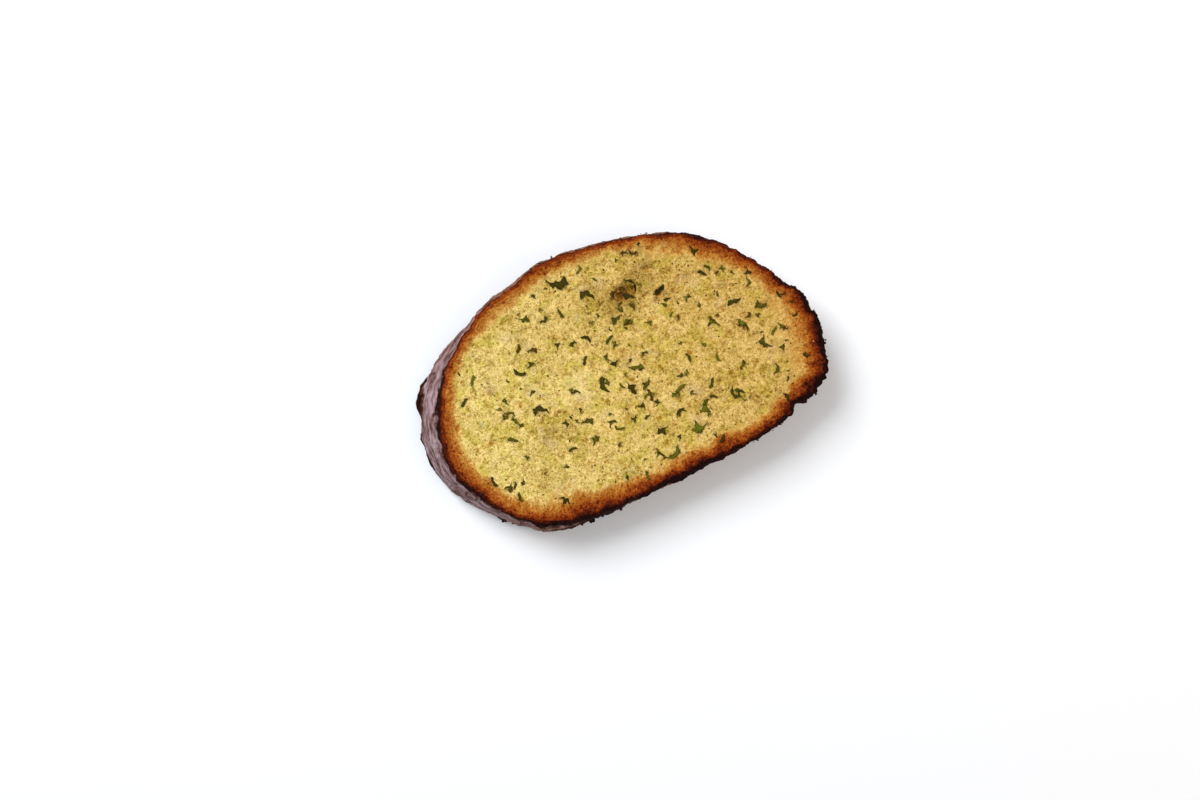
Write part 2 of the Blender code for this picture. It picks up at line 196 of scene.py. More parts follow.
# Sizes of butter drops and crumbs; large butter drops, as place and size; burnt bits stuck to the crust's
# wall, as direction, size and height; and round crumbs stuck to its upper edge, as direction and size.
SMALL_DROP, RIM_CRUMB, FACE_CRUMB = (0.9, 1.6), (0.35, 1.1), (0.4, 0.9)  # least and most size
LARGE_DROPS = ((-33.1, -0.9, 2.3), (-27.9, -1.3, 1.9), (-26.7, -0.7, 1.9))
BURNT_BITS = (
    (-156.5, 2.4, 3.0), (-153.5, 1.5, 3.0), (-129.5, 2.8, 10.0), (-133.0, 1.4, 8.0),
    (-125.5, 1.5, 11.0), (-142.0, 1.0, 5.0), (-118.0, 1.4, 13.0),
)
BURNT_TINT, BEAD_TINT = 1.1, (0.74, 0.88)
BEADS = ((133.0, 1.6), (120.0, 1.3), (104.0, 1.5), (80.5, 1.4), (77.5, 1.0), (141.0, 1.0))

# Paler and dimmer patches of the crumb: centre and radius in millimetres, and the change in tone. The dim
# patches round the holes are painted shade of the sunken crumb there; the others are the crumb's own tone.
PATCHES = (
    (-6.0, 6.0, 12.0, 0.35), (12.0, 27.0, 9.0, -0.75), (24.0, 22.0, 6.0, -0.1), (22.0, 33.0, 5.0, -0.8),
    (34.0, 27.0, 9.0, -0.1), (6.0, 12.0, 7.0, -0.25), (-44.0, -8.0, 16.0, 0.3), (-40.6, 18.2, 10.0, 0.35),
    (-32.7, -5.0, 6.5, -0.7), (0.0, 26.0, 8.0, -0.35), (-11.0, 41.0, 7.0, -0.35), (-6.2, 12.0, 6.0, -0.45),
    (7.0, -10.5, 12.0, 0.4), (-2.2, -29.0, 7.0, 0.25), (50.0, -8.6, 8.0, 0.35), (35.4, 0.7, 7.0, 0.3),
    (-18.0, 7.0, 6.0, 0.6), (-40.0, -20.4, 8.0, -0.5), (3.2, 32.8, 5.0, -0.4),
)

# The camera looks straight down. It stands over this place of the slice, turned by this angle. A light is
# its place along the picture, across it and above the floor, its size and its tint.
CAMERA_OVER = Vector((-11.6, -3.2)) * MM
CAMERA_HEIGHT = 0.45
CAMERA_TURN = math.radians(-25.0)
KEY_LIGHT = ((-0.42, 0.44, 0.7), 0.5, (244, 249, 255))
FILL_LIGHT = ((0.6, -0.2, 0.5), 0.7, (255, 236, 214))
SKY_STRENGTH = 0.55
FLOOR_REACH, FLOOR_ROUGHNESS = 3.0, 0.6


def shade(red, green, blue):
    """A colour given as screen values from 0 to 255, as the linear colour that a shader takes."""
    found = []
    for value in (red, green, blue):
        value /= 255.0
        found.append(value / 12.92 if value <= 0.04045 else ((value + 0.055) / 1.055) ** 2.4)
    return (*found, 1.0)


def colour_property(name, description, screen):
    """A colour that a user may change, given as screen values."""
    return bpy.props.FloatVectorProperty(
        name=name,
        description=description,
        subtype="COLOR",
        size=4,
        min=0.0,
        max=1.0,
        default=shade(*screen),
    )


def length_property(name, description, millimetres):
    """A length that a user may change."""
    return bpy.props.FloatProperty(
        name=name,
        description=description,
        default=millimetres * MM,
        min=0.0,
        subtype="DISTANCE",
        unit="LENGTH",
    )


def count_property(name, description, default):
    """A count or a seed that a user may change."""
    return bpy.props.IntProperty(name=name, description=description, default=default, min=0)


def stage_property(name, description, default, unit):
    """A value of the stage that a user may change."""
    return bpy.props.FloatProperty(name=name, description=description, default=default, unit=unit)


# ---------------------------------------------------------------------------------------------------
# The slice's outline and heights
# ---------------------------------------------------------------------------------------------------


def smooth_loop(points, samples):
    """A closed smooth curve through the points, as samples at equal steps along it."""
    rows = []
    for before, start, end, after in zip(
        np.roll(points, 1, 0), points, np.roll(points, -1, 0), np.roll(points, -2, 0)
    ):
        t = np.linspace(0.0, 1.0, CURVE_STEPS, endpoint=False)[:, None]
        rows.append(
            start
            + 0.5 * t * (end - before)
            + t**2 * (before - 2.5 * start + 2 * end - 0.5 * after)
            + t**3 * (1.5 * (start - end) + 0.5 * (after - before))
        )
    fine = np.concatenate(rows)
    closed = np.vstack([fine, fine[:1]])
    run = np.concatenate([[0.0], np.cumsum(np.hypot(*np.diff(closed, axis=0).T))])
    at = np.linspace(0.0, run[-1], samples, endpoint=False)
    return np.column_stack([np.interp(at, run, closed[:, axis]) for axis in range(2)])


EDGE = smooth_loop(np.array(EDGE_POINTS) * MM, EDGE_SAMPLES)
TANGENT = np.roll(EDGE, -TANGENT_REACH, 0) - np.roll(EDGE, TANGENT_REACH, 0)
OUTWARD = np.column_stack([TANGENT[:, 1], -TANGENT[:, 0]]) / np.hypot(*TANGENT.T)[:, None]
EDGE_TREE = KDTree(EDGE_SAMPLES)
for number, (x, y) in enumerate(EDGE):
    EDGE_TREE.insert((x, y, 0.0), number)
EDGE_TREE.balance()


def edge_point(share, outset=0.0):
    """The point at this share of the way round the cut face's edge, moved outwards by the outset."""
    index = int(round(share * EDGE_SAMPLES)) % EDGE_SAMPLES
    return Vector(EDGE[index] + OUTWARD[index] * outset)


def rim_share(degrees):
    """The share of the way round at which the cut face's edge lies in this direction."""
    turns = np.degrees(np.arctan2(EDGE[:, 1], EDGE[:, 0])) - degrees
    return int(np.argmin(np.abs((turns + 180.0) % 360.0 - 180.0))) / EDGE_SAMPLES


def inside_edge(point):
    """How far inside the cut face's edge the point lies; negative outside it."""
    _, index, distance = EDGE_TREE.find((point.x, point.y, 0.0))
    outside = (point - Vector(EDGE[index])).dot(Vector(OUTWARD[index])) > 0
    return -distance if outside else distance


def direction(point):
    """Direction of a point from the middle of the slice, in degrees."""
    return math.degrees(math.atan2(point.y, point.x))


def bump(distance, width):
    """1 at no distance, falling to 0 over about twice the width."""
    return math.exp(-((distance / width) ** 2))


def ripple(point, layer, length):
    """Noise over a plane, with features of about this length. Each layer is a pattern of its own."""
    return noise.noise(Vector((point.x, point.y, layer)) / length)


def ease(low, high, value):
    """0 at low, 1 at high, smooth between."""
    share = min(1.0, max(0.0, (value - low) / (high - low)))
    return share * share * (3.0 - 2.0 * share)


def lean(point):
    """How far the foot of the crust lies outside the cut face's edge here."""
    angle = direction(point)
    total = 0.0
    for at, right, left, reach in LEANS:
        away = (angle - at + 180.0) % 360.0 - 180.0
        total += reach * MM * bump(away, left if away > 0.0 else right)
    return total


def crag(point, depth):
    """How far the burnt crust stands out of its smooth outline here, at this share of the way down."""
    drop = depth * THICKNESS
    wander = noise.noise(Vector((point.x / CRAG_LENGTH, point.y / CRAG_LENGTH, drop / CRAG_DROP)))
    burnt = 1.0 if point.x > BURNT_FROM_X or point.y < BURNT_BELOW_Y else LIGHT_CRAGS
    top = max(0.0, 1.0 - 2.0 * depth)
    notch = NOTCH_DEPTH * bump((point - NOTCH_AT).length, NOTCH_WIDTH)
    nubs = 0.0
    for x, y, rise, wide in NUBS:
        nubs += rise * bump((point - Vector((x, y)) * MM).length, wide * MM)
    return wander * burnt * CRAG_HEIGHT + (nubs * MM - notch) * top


def crumb_height(point):
    """Height of the cut face at a point of it, without its pores."""
    inside = inside_edge(point)
    height = THICKNESS - DIP * (1.0 - bump(inside, DIP_REACH))
    height += LIP_HEIGHT * bump(inside - LIP_AT, LIP_WIDTH)
    for length, rise in RELIEF:
        height += rise * ripple(point, length, length)
    return height


def hole_depth(point, hole):
    """Depth of a bowl-shaped hole at a point, zero outside it."""
    x, y, length, width, depth, turn = hole
    local = Matrix.Rotation(math.radians(-turn), 2) @ (point - Vector((x, y)) * MM)
    share = (2 * local.x / (length * MM)) ** 2 + (2 * local.y / (width * MM)) ** 2
    return depth * MM * math.sqrt(max(0.0, 1.0 - share))


def face_height(point):
    """Height of the cut face at a point of it, with its named holes."""
    return crumb_height(point) - max(hole_depth(point, hole) for hole in HOLES)


def thickness_strewn(place):
    """Density of the strewn parsley at a place, as a share of the densest."""
    away = place - THICK_OF_IT
    away = Vector((away.x / THICK_SPREAD.x, away.y / THICK_SPREAD.y))
    return THINNEST + (1.0 - THINNEST) * math.exp(-away.length_squared)


def strewn_places(count, seed, clear_of, density):
    """Places drawn over the cut face by a density, each clear of the edge and of those before it. With each
    come a share from 0 to 1 and a turn of its own."""
    draw = random.Random(seed)
    taken = list(clear_of)
    found = []
    while len(found) < count:
        place = Vector((draw.uniform(*FACE_X), draw.uniform(*FACE_Y))) * MM
        share = draw.random()
        turn = draw.uniform(-180, 180)
        if draw.random() > density(place) or inside_edge(place) < CLEAR_OF_EDGE:
            continue
        if any((place - other).length < gap for other, gap in taken):
            continue
        found.append((place, share, turn))
        taken.append((place, 2.0 * FLAKE_GAP + STREWN_APART))
    return found


def parsley_pieces():
    """Centre, length, turn and kind of every piece of parsley."""
    pieces = [(Vector((x, y)) * MM, length * MM, turn, kind) for x, y, length, turn, kind in PARSLEY]
    clear_of = [(place, length / 2 + FLAKE_GAP + LARGE_APART) for place, length, _, _ in pieces]
    clear_of += [(Vector(hole[:2]) * MM, hole[2] * MM / 2 + HOLE_APART) for hole in HOLES]
    low, high = STREWN_LENGTH
    for place, share, turn in strewn_places(STREWN, STREWN_SEED, clear_of, thickness_strewn):
        kind = LEAF if share < LEAF_SHARE else STRIP
        pieces.append((place, low + (high - low) * share, turn, kind))
    return pieces


def coarse_pores(pieces):
    """Centre, half sizes, depth and turn of the pores that the solid has, its named holes left out."""
    clear_of = [(place, length / 2 + FLAKE_GAP + PORE_LENGTH[1] / 2) for place, length, _, _ in pieces]
    clear_of += [(Vector(hole[:2]) * MM, hole[2] * MM / 2 + PORE_LENGTH[1]) for hole in HOLES]
    low, high = PORE_LENGTH
    found = []
    for place, share, turn in strewn_places(PORES, PORE_SEED, clear_of, lambda place: 1.0):
        length = low + (high - low) * share**2
        wide = length * (PORE_WIDTH + PORE_WIDENS * share)
        found.append((place, length / 2, wide, length * PORE_DEPTH, turn))
    return found


PIECES = parsley_pieces()


def round_rim(angle, rule):
    """A rule's value in this direction: the one that it has all round, and what each arc adds."""
    value, arcs = rule
    for at, reach, added in arcs:
        value += added * bump((angle - at + 180.0) % 360.0 - 180.0, reach)
    return value


# ---------------------------------------------------------------------------------------------------
# Meshes and objects
# ---------------------------------------------------------------------------------------------------


def extrude_ring(shape, ring, shares):
    """Extrudes a closed ring of edges in place. Gives the new edges and points, which take their shares of
    the way round from the points that they came from."""
    before = {point for edge in ring for point in edge.verts}
    found = bmesh.ops.extrude_edge_only(shape, edges=ring)["geom"]
    ring = [item for item in found if isinstance(item, bmesh.types.BMEdge)]
    here = {point for edge in ring for point in edge.verts}
    for point in before:
        for edge in point.link_edges:
            other = edge.other_vert(point)
            if other in here:
                shares[other] = shares[point]
    return ring, here


def new_shape(*names):
    """An empty bmesh. Gives it with its points' layers of these names."""
    shape = bmesh.new()
    return shape, {name: shape.verts.layers.float.new(name) for name in names}


def finish_piece(shape, name, material):
    """Makes the bmesh a piece of the toast that rides with it and takes its finish from the slot."""
    bmesh.ops.recalc_face_normals(shape, faces=shape.faces)
    bmesh.ops.translate(shape, vec=OFFSET, verts=shape.verts)
    mesh = bpy.data.meshes.new(name)
    shape.to_mesh(mesh)
    shape.free()
    mesh.shade_smooth()
    mesh.materials.append(material)
    piece = bpy.data.objects.new(name, mesh)
    bpy.context.scene.collection.objects.link(piece)
    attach(piece, BODY)
    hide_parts(NODE)
    return piece


ON_BORDER = 0.999999  # a grid that runs from -1 to 1 has its border past this


def share_round(u, v, columns, rows):
    """Where the ray through a grid point meets the grid's outer edge, as a share of the way round from its
    right end."""
    reach = max(abs(u), abs(v), 1e-9)
    u, v = u / reach, v / reach
    if u > ON_BORDER:
        run = v * rows
    elif v > ON_BORDER:
        run = rows + (1.0 - u) * columns
    elif u < -ON_BORDER:
        run = rows + 2.0 * columns + (1.0 - v) * rows
    else:
        run = 3.0 * rows + 2.0 * columns + (u + 1.0) * columns
    return (run / (4.0 * (columns + rows))) % 1.0


def grid_on_face(shape, columns, rows, place_on_edge):
    """A grid bent to a face's outline. Gives its points and its border's edges. place_on_edge gives the
    outline's point at a share of the way round."""
    points = bmesh.ops.create_grid(shape, x_segments=columns, y_segments=rows, size=1.0)["verts"]
    edges = {edge for point in points for edge in point.link_edges}
    border = [edge for edge in edges if edge.is_boundary]
    fixed = {corner for edge in border for corner in edge.verts}
    for point in points:
        u, v = point.co.x, point.co.y
        place = place_on_edge(share_round(u, v, columns, rows))
        point.co = (place * max(abs(u), abs(v))).to_3d()
    middle = [point for point in points if point not in fixed]
    for _ in range(10):
        bmesh.ops.smooth_vert(shape, verts=middle, factor=0.5, use_axis_x=True, use_axis_y=True)
    return points, border


def open_cell(point, size, layer):
    """How far from its cell's walls a point of the crumb lies, from 0 to 1, and a number that is the cell's
    own."""
    at = Vector((point.x, point.y, 0.0)) / size
    at += 0.3 * noise.noise_vector(at * 1.4 + Vector((0.0, 0.0, layer)))
    at.z += layer
    distances, centres = noise.voronoi(at)
    number = 0.5 + 0.5 * noise.cell(centres[0] * 61.0)
    return ease(0.03, 0.3, distances[1] - distances[0]), number


def crumb_hollow(point, fine):
    """Depth of the crumb's own cells at a point of a cut face: a few large ones among small ones."""
    wide, number = open_cell(point, 3.2 * MM, 3.0)
    depth = 0.5 * wide * max(0.0, (number - 0.84) / 0.16)
    wide, number = open_cell(point, 1.8 * MM, 17.0)
    depth += 0.36 * wide * number**4
    if fine:
        wide, number = open_cell(point, 1.15 * MM, 29.0)
        depth += 0.34 * wide * number
    return depth * MM


def hollows():
    """Centre, half sizes, depth and turn of the named holes and of the coarse pores."""
    named = [
        (Vector((x, y)) * MM, length * MM / 2, width * MM / 2, depth * MM, turn)
        for x, y, length, width, depth, turn in HOLES
    ]
    pores = [
        (place, half, wide, depth * PORE_SHARE, turn)
        for place, half, wide, depth, turn in coarse_pores(PIECES)
    ]
    return named, pores


def sunken(points, bowls):
    """Depth at each point of the cut face in these bowls, with wandering edges."""
    tree = KDTree(len(points))
    for number, point in enumerate(points):
        tree.insert((point.co.x, point.co.y, 0.0), number)
    tree.balance()
    depths = [0.0] * len(points)
    for place, half, wide, depth, turn in bowls:
        spin = Matrix.Rotation(math.radians(-turn), 2)
        for found, number, _ in tree.find_range((place.x, place.y, 0.0), half * 1.3):
            local = spin @ (found.to_2d() - place)
            share = (local.x / half) ** 2 + (local.y / wide) ** 2
            share += 0.7 * noise.noise(found / (2.2 * MM))
            if share < 1.0:
                depths[number] = max(depths[number], depth * math.sqrt(1.0 - max(0.0, share)))
    return depths


def rim_relief(point, inset):
    """Fine relief of the cut face, with lumps near the rim."""
    rim = bump(inset, 5.0 * MM)
    lumps = ripple(point, 11.0 * MM, 1.9 * MM)
    grains = ripple(point, 7.0 * MM, 0.9 * MM)
    return (0.36 * rim * lumps + 0.13 * grains) * MM


def toasting_at(point, inset):
    """How far the rim is toasted at a point this far inside its edge: 0 pale, 1 black."""
    angle = direction(point)
    streaks = noise.noise(Vector((angle * 1.1, inset / (5.0 * MM), 2.0)))
    blotches = ripple(point, 0.0, 4.5 * MM)
    patches = ripple(point, 40.0 * MM, 1.7 * MM)
    inset += (0.5 * streaks + 1.2 * blotches + 0.6 * patches) * MM
    toast = round_rim(angle, EDGE_TOAST) - inset / (round_rim(angle, TOAST_DEPTH) * MM)
    toast -= max(0.0, TOAST_BEND - toast)
    tail = round_rim(angle, TOAST_TAIL) - inset / TAIL_DEPTH
    return min(TOAST_MOST, max(toast, tail, 0.0))


def tone_at(point):
    """Tone of the crumb at a point: below 0 dim, above 0 pale. Round the holes the dim tone is painted
    shade.
    """
    tone = 0.35 * ripple(point, 5.0 * MM, 11.0 * MM)
    tone += 0.25 * ripple(point, 9.0 * MM, 4.0 * MM)
    for x, y, radius, change in PATCHES:
        tone += change * bump((point - Vector((x, y)) * MM).length, radius * MM)
    return tone


def crumb_body(settings):
    """The crumb as one closed body: a fine grid for the cut face and a coarser one for the underside,
    bridged inside the crust."""
    noise.seed_set(CELL_SEED)
    shape, layers = new_shape("toasting", "hollow", "hole", "tone")

    def top_place(share):
        smooth = edge_point(share)
        return edge_point(share, fine_crag(smooth, 0.0) - CRUMB_INSET)

    def foot_place(share):
        smooth = edge_point(share)
        return edge_point(share, lean(smooth) + crag(smooth, 1.0) - FOOT_INSET - UNDER_TUCK)

    top, top_border = grid_on_face(shape, settings.columns, settings.rows, top_place)
    under, under_border = grid_on_face(shape, settings.columns // 2, settings.rows // 2, foot_place)
    named, pores = hollows()
    for point, hole, pore in zip(top, sunken(top, named), sunken(top, pores)):
        flat = point.co.to_2d()
        inset = inside_edge(flat) + fine_crag(flat, 0.0)
        hollow = crumb_hollow(flat, True) * ease(CRUMB_INSET, CELLS_FROM, inset)
        tucked = TUCK_DEPTH * (1.0 - ease(CRUMB_INSET, CRUMB_INSET + TUCK_WIDTH, inset))
        relief = rim_relief(flat, inset) - max(hollow, pore)
        point.co.z = crumb_height(flat) + relief - hole - tucked
        point[layers["toasting"]] = toasting_at(flat, inset)
        point[layers["hollow"]] = max(hollow, pore)
        point[layers["hole"]] = hole
        point[layers["tone"]] = tone_at(flat)
    for point in under:
        flat = point.co.to_2d()
        hollow = crumb_hollow(flat, False)
        inset = inside_edge(flat) + lean(flat)
        browned = UNDER_TOAST + 0.2 * ripple(flat, 31.0 * MM, 13.0 * MM)
        point.co.z = hollow + UNDER_TUCK * (1.0 - ease(FOOT_INSET, 2.0 * FOOT_INSET, inset))
        point[layers["toasting"]] = browned + UNDER_EDGE_TOAST * (1.0 - ease(0.0, UNDER_EDGE, inset))
        point[layers["hollow"]] = hollow
    bmesh.ops.bridge_loops(shape, edges=top_border + under_border)
    return shape


def fine_crag(point, depth):
    """The crust's outline with the small crags that the solid leaves out."""
    burnt = round_rim(direction(point), FINE_CRAGS) * MM
    drop = depth * THICKNESS
    small = ripple(point, drop, 2.3 * MM)
    smaller = ripple(point, drop + 0.05, 0.9 * MM)
    return crag(point, depth) + burnt * (0.9 * small + 0.5 * smaller)


def crust_relief(point, height):
    """Wrinkles that run round the crust, blisters and fine roughness."""
    wrinkles = noise.noise(Vector((point.x / 14.0, point.y / 14.0, height / 1.3)) / MM)
    ridges = 0.5 - abs(noise.noise(Vector((point.x / 12.0, point.y / 12.0, height / 2.4 + 50.0)) / MM))
    blisters = ripple(point, height, 3.0 * MM)
    fine = ripple(point, height, 1.0 * MM)
    return (0.3 * wrinkles + 0.5 * ridges + 0.2 * blisters + 0.16 * fine) * MM


def foot_flap(point, depth):
    """The burnt lower edge stands out in thin flaps, largest at the broad end."""
    wander = ripple(point, 70.0 * MM, 6.0 * MM)
    reach = round_rim(direction(point), FLAPS) + max(0.0, 0.6 * wander)
    return reach * MM * bump(depth - 0.93, 0.05)


def crack_at(point, height):
    """1 in a crack that runs down the crust, 0 away from it."""
    where = noise.noise(Vector((point.x / 9.0, point.y / 9.0, height / 30.0)) / MM)
    kept = ripple(point, 3.0 * height, 9.0 * MM)
    return bump(where, 0.035) * ease(0.05, 0.3, kept)


def crust_char_at(point, height):
    """How far the crust is charred at a point of it: most along its upper and lower edges."""
    wander = ripple(point, 2.0 * height, 3.5 * MM)
    wander += 0.6 * ripple(point, height, 1.4 * MM)
    angle = direction(point)
    burnt = round_rim(angle, WALL_CHAR)
    upper = bump(THICKNESS - height, round_rim(angle, UPPER_CHAR) * MM)
    lower = bump(height, (2.6 + 2.0 * round_rim(angle, FLAPS)) * MM)
    edge = max(upper, lower)
    return min(1.0, max(0.0, edge + 0.6 * burnt + wander * (0.25 + 0.35 * edge) - 0.05))


def crust_section(settings):
    """The crust's section as rings of an inset and a height: from its hidden inner side over the lip, down
    the wall and under the foot."""
    lip = [(2.3, -1.3), (2.1, -0.8), (1.9, -0.4), (1.65, -0.12), (1.4, 0.0), (1.15, 0.03), (0.9, 0.04)]
    lip += [(0.68, 0.02), (0.48, -0.06), (0.3, -0.22), (0.15, -0.45), (0.05, -0.72)]
    rings = [(inset * MM, THICKNESS + lift * MM) for inset, lift in lip]
    steps = settings.rings
    top = THICKNESS - SHOULDER
    rings += [(0.0, top + (FOOT_HEIGHT - top) * step / steps) for step in range(steps + 1)]
    foot = [(0.15, 1.05), (0.4, 0.75), (0.8, 0.38), (1.6, 0.0), (2.2, 0.0), (2.7, 0.5)]
    return rings + [(inset * MM, height * MM) for inset, height in foot]


def crust_point(share, inset, height):
    """A point of the crust at this share of the way round, on the ring with this inset and height."""
    smooth = edge_point(share)
    depth = 1.0 - min(height, THICKNESS) / THICKNESS
    wall = ease(0.02, 0.12, depth) * ease(1.0, 0.92, depth)
    outset = lean(smooth) * depth + BULGE * math.sin(math.pi * depth) + fine_crag(smooth, depth) - inset
    outset += wall * (crust_relief(smooth, height) - 0.4 * MM * crack_at(smooth, height))
    outset += foot_flap(smooth, depth)
    flat = edge_point(share, outset)
    above = flat if inset > 0.0 else smooth
    rise = crumb_height(above) - THICKNESS + rim_relief(above, inset)
    return Vector((flat.x, flat.y, max(0.0, height + rise * (1.0 - depth) ** 2)))


def crust_band(settings):
    """The crust as a closed band round the crumb: a circle of points extruded through its section."""
    shape, layers = new_shape("toasting", "lip", "char", "crack", "dust")
    here = bmesh.ops.create_circle(shape, segments=settings.columns, radius=1.0)["verts"]
    shares = {point: math.atan2(point.co.y, point.co.x) / (2.0 * math.pi) % 1.0 for point in here}
    first = ring = shape.edges[:]
    for number, (inset, height) in enumerate(crust_section(settings)):
        if number > 0:
            ring, here = extrude_ring(shape, ring, shares)
        for point in here:
            smooth = edge_point(shares[point])
            point.co = crust_point(shares[point], inset, height)
            flat = point.co.to_2d()
            on_top = height > THICKNESS - SHOULDER
            point[layers["lip"]] = ease(0.1 * MM, 0.6 * MM, inset) if on_top else 0.0
            point[layers["toasting"]] = toasting_at(flat, inset)
            point[layers["char"]] = crust_char_at(flat, height)
            point[layers["crack"]] = crack_at(smooth, height)
            # dust: how far the painted lilac reflection covers the crust here
            point[layers["dust"]] = round_rim(direction(flat), WALL_SHEEN)
    bmesh.ops.bridge_loops(shape, edges=first + ring)
    return shape


# ---------------------------------------------------------------------------------------------------
# Shader nodes
# ---------------------------------------------------------------------------------------------------


class Sheet:
    """A short way to write nodes into a node tree."""

    def __init__(self, tree):
        self.tree = tree

    def add(self, kind, settings=None, **inputs):
        """A new node with its settings; an input is a socket to link or a value. Names use _ for spaces."""
        node = self.tree.nodes.new(kind)
        for name, value in (settings or {}).items():
            setattr(node, name, value)
        for name, value in inputs.items():
            key = int(name[1:]) if name[1:].isdigit() and name[0] == "i" else name.replace("_", " ")
            socket = node.inputs[key]
            if isinstance(value, bpy.types.NodeSocket):
                self.tree.links.new(value, socket)
            else:
                socket.default_value = value
        return node

    def math(self, operation, first, second=0.0, clamp=False):
        """A sum or another operation on two values."""
        settings = {"operation": operation, "use_clamp": clamp}
        return self.add("ShaderNodeMath", settings, i0=first, i1=second).outputs[0]

    def plus(self, first, second, clamp=False):
        return self.math("ADD", first, second, clamp)

    def minus(self, first, second):
        return self.math("SUBTRACT", first, second)

    def times(self, first, second):
        return self.math("MULTIPLY", first, second)

    def centred(self, value, size, middle=0.5):
        """A mask moved to run about zero, times a size."""
        return self.times(self.minus(value, middle), size)

    def range(self, value, low, high, to_low=0.0, to_high=1.0, smooth=False):
        """How far a value is from low to high, moved to run from to_low to to_high and held there."""
        settings = {"interpolation_type": "SMOOTHSTEP" if smooth else "LINEAR"}
        ends = {"From_Min": low, "From_Max": high, "To_Min": to_low, "To_Max": to_high}
        return self.add("ShaderNodeMapRange", settings, Value=value, **ends).outputs["Result"]

    def mix(self, factor, first, second, blend="MIX"):
        """The first colour, covered by the second by the factor."""
        settings = {"data_type": "RGBA", "blend_type": blend}
        return self.add("ShaderNodeMix", settings, i0=factor, i6=first, i7=second).outputs[2]

    def darken(self, factor, colour, by):
        """A colour multiplied by another, by the factor."""
        return self.mix(factor, colour, by, "MULTIPLY")

    def noise(self, vector, size, detail=2.0, roughness=0.5, distortion=0.0):
        """Noise whose features are about this size in metres."""
        node = self.add(
            "ShaderNodeTexNoise",
            Vector=vector,
            Scale=1.0 / size,
            Detail=detail,
            Roughness=roughness,
            Distortion=distortion,
        )
        return node.outputs["Fac"]

    def ridges(self, vector, size, width, distortion):
        """1 on the winding lines where a noise crosses its middle, 0 away from them."""
        wave = self.noise(vector, size, detail=0.5, distortion=distortion)
        away = self.math("ABSOLUTE", self.minus(wave, 0.5))
        return self.range(away, width, 0.0, smooth=True)

    def ramp(self, factor, stops):
        """Colours along a factor, as (position, colour) stops."""
        node = self.add("ShaderNodeValToRGB", i0=factor)
        ramp = node.color_ramp
        while len(ramp.elements) < len(stops):
            ramp.elements.new(1.0)
        for element, (position, colour) in zip(ramp.elements, stops):
            element.position = position
            element.color = colour
        return node.outputs["Color"]

    def cells(self, vector, size):
        """Cells of about this size: how far a point is from its cell's middle, and numbers of the cell's
        own."""
        node = self.add("ShaderNodeTexVoronoi", Vector=vector, Scale=1.0 / size)
        own = self.add("ShaderNodeSeparateColor", Color=node.outputs["Color"])
        return node.outputs["Distance"], own.outputs

    def bent(self, vector, scale, detail, reach):
        """Coordinates bent by a noise, by up to this reach."""
        bend = self.add("ShaderNodeTexNoise", Vector=vector, Scale=scale, Detail=detail).outputs["Color"]
        settings = {"operation": "MULTIPLY_ADD"}
        return self.add("ShaderNodeVectorMath", settings, i0=bend, i1=(reach,) * 3, i2=vector).outputs[0]

    def moved(self, vector, **inputs):
        """Coordinates moved by a Location or stretched by a Scale."""
        return self.add("ShaderNodeMapping", Vector=vector, **inputs).outputs[0]

    def attribute(self, name):
        """What the mesh's points hold on this layer."""
        return self.add("ShaderNodeAttribute", {"attribute_name": name}).outputs["Fac"]

    def coordinates(self):
        return self.add("ShaderNodeTexCoord").outputs["Object"]

    def group(self, group, **inputs):
        """A node group's outputs."""
        return self.add("ShaderNodeGroup", {"node_tree": group}, **inputs).outputs


def new_group(name, inputs, outputs):
    """An empty shader node group with its sockets. Gives it with a sheet, its inputs and its outputs."""
    group = bpy.data.node_groups.new(name, "ShaderNodeTree")
    for socket, kind in inputs:
        group.interface.new_socket(name=socket, in_out="INPUT", socket_type=kind)
    for socket, kind in outputs:
        group.interface.new_socket(name=socket, in_out="OUTPUT", socket_type=kind)
    sheet = Sheet(group)
    entry = group.nodes.new("NodeGroupInput").outputs
    leave = group.nodes.new("NodeGroupOutput").inputs
    return group, sheet, entry, leave


FLOAT, VECTOR, COLOUR = "NodeSocketFloat", "NodeSocketVector", "NodeSocketColor"


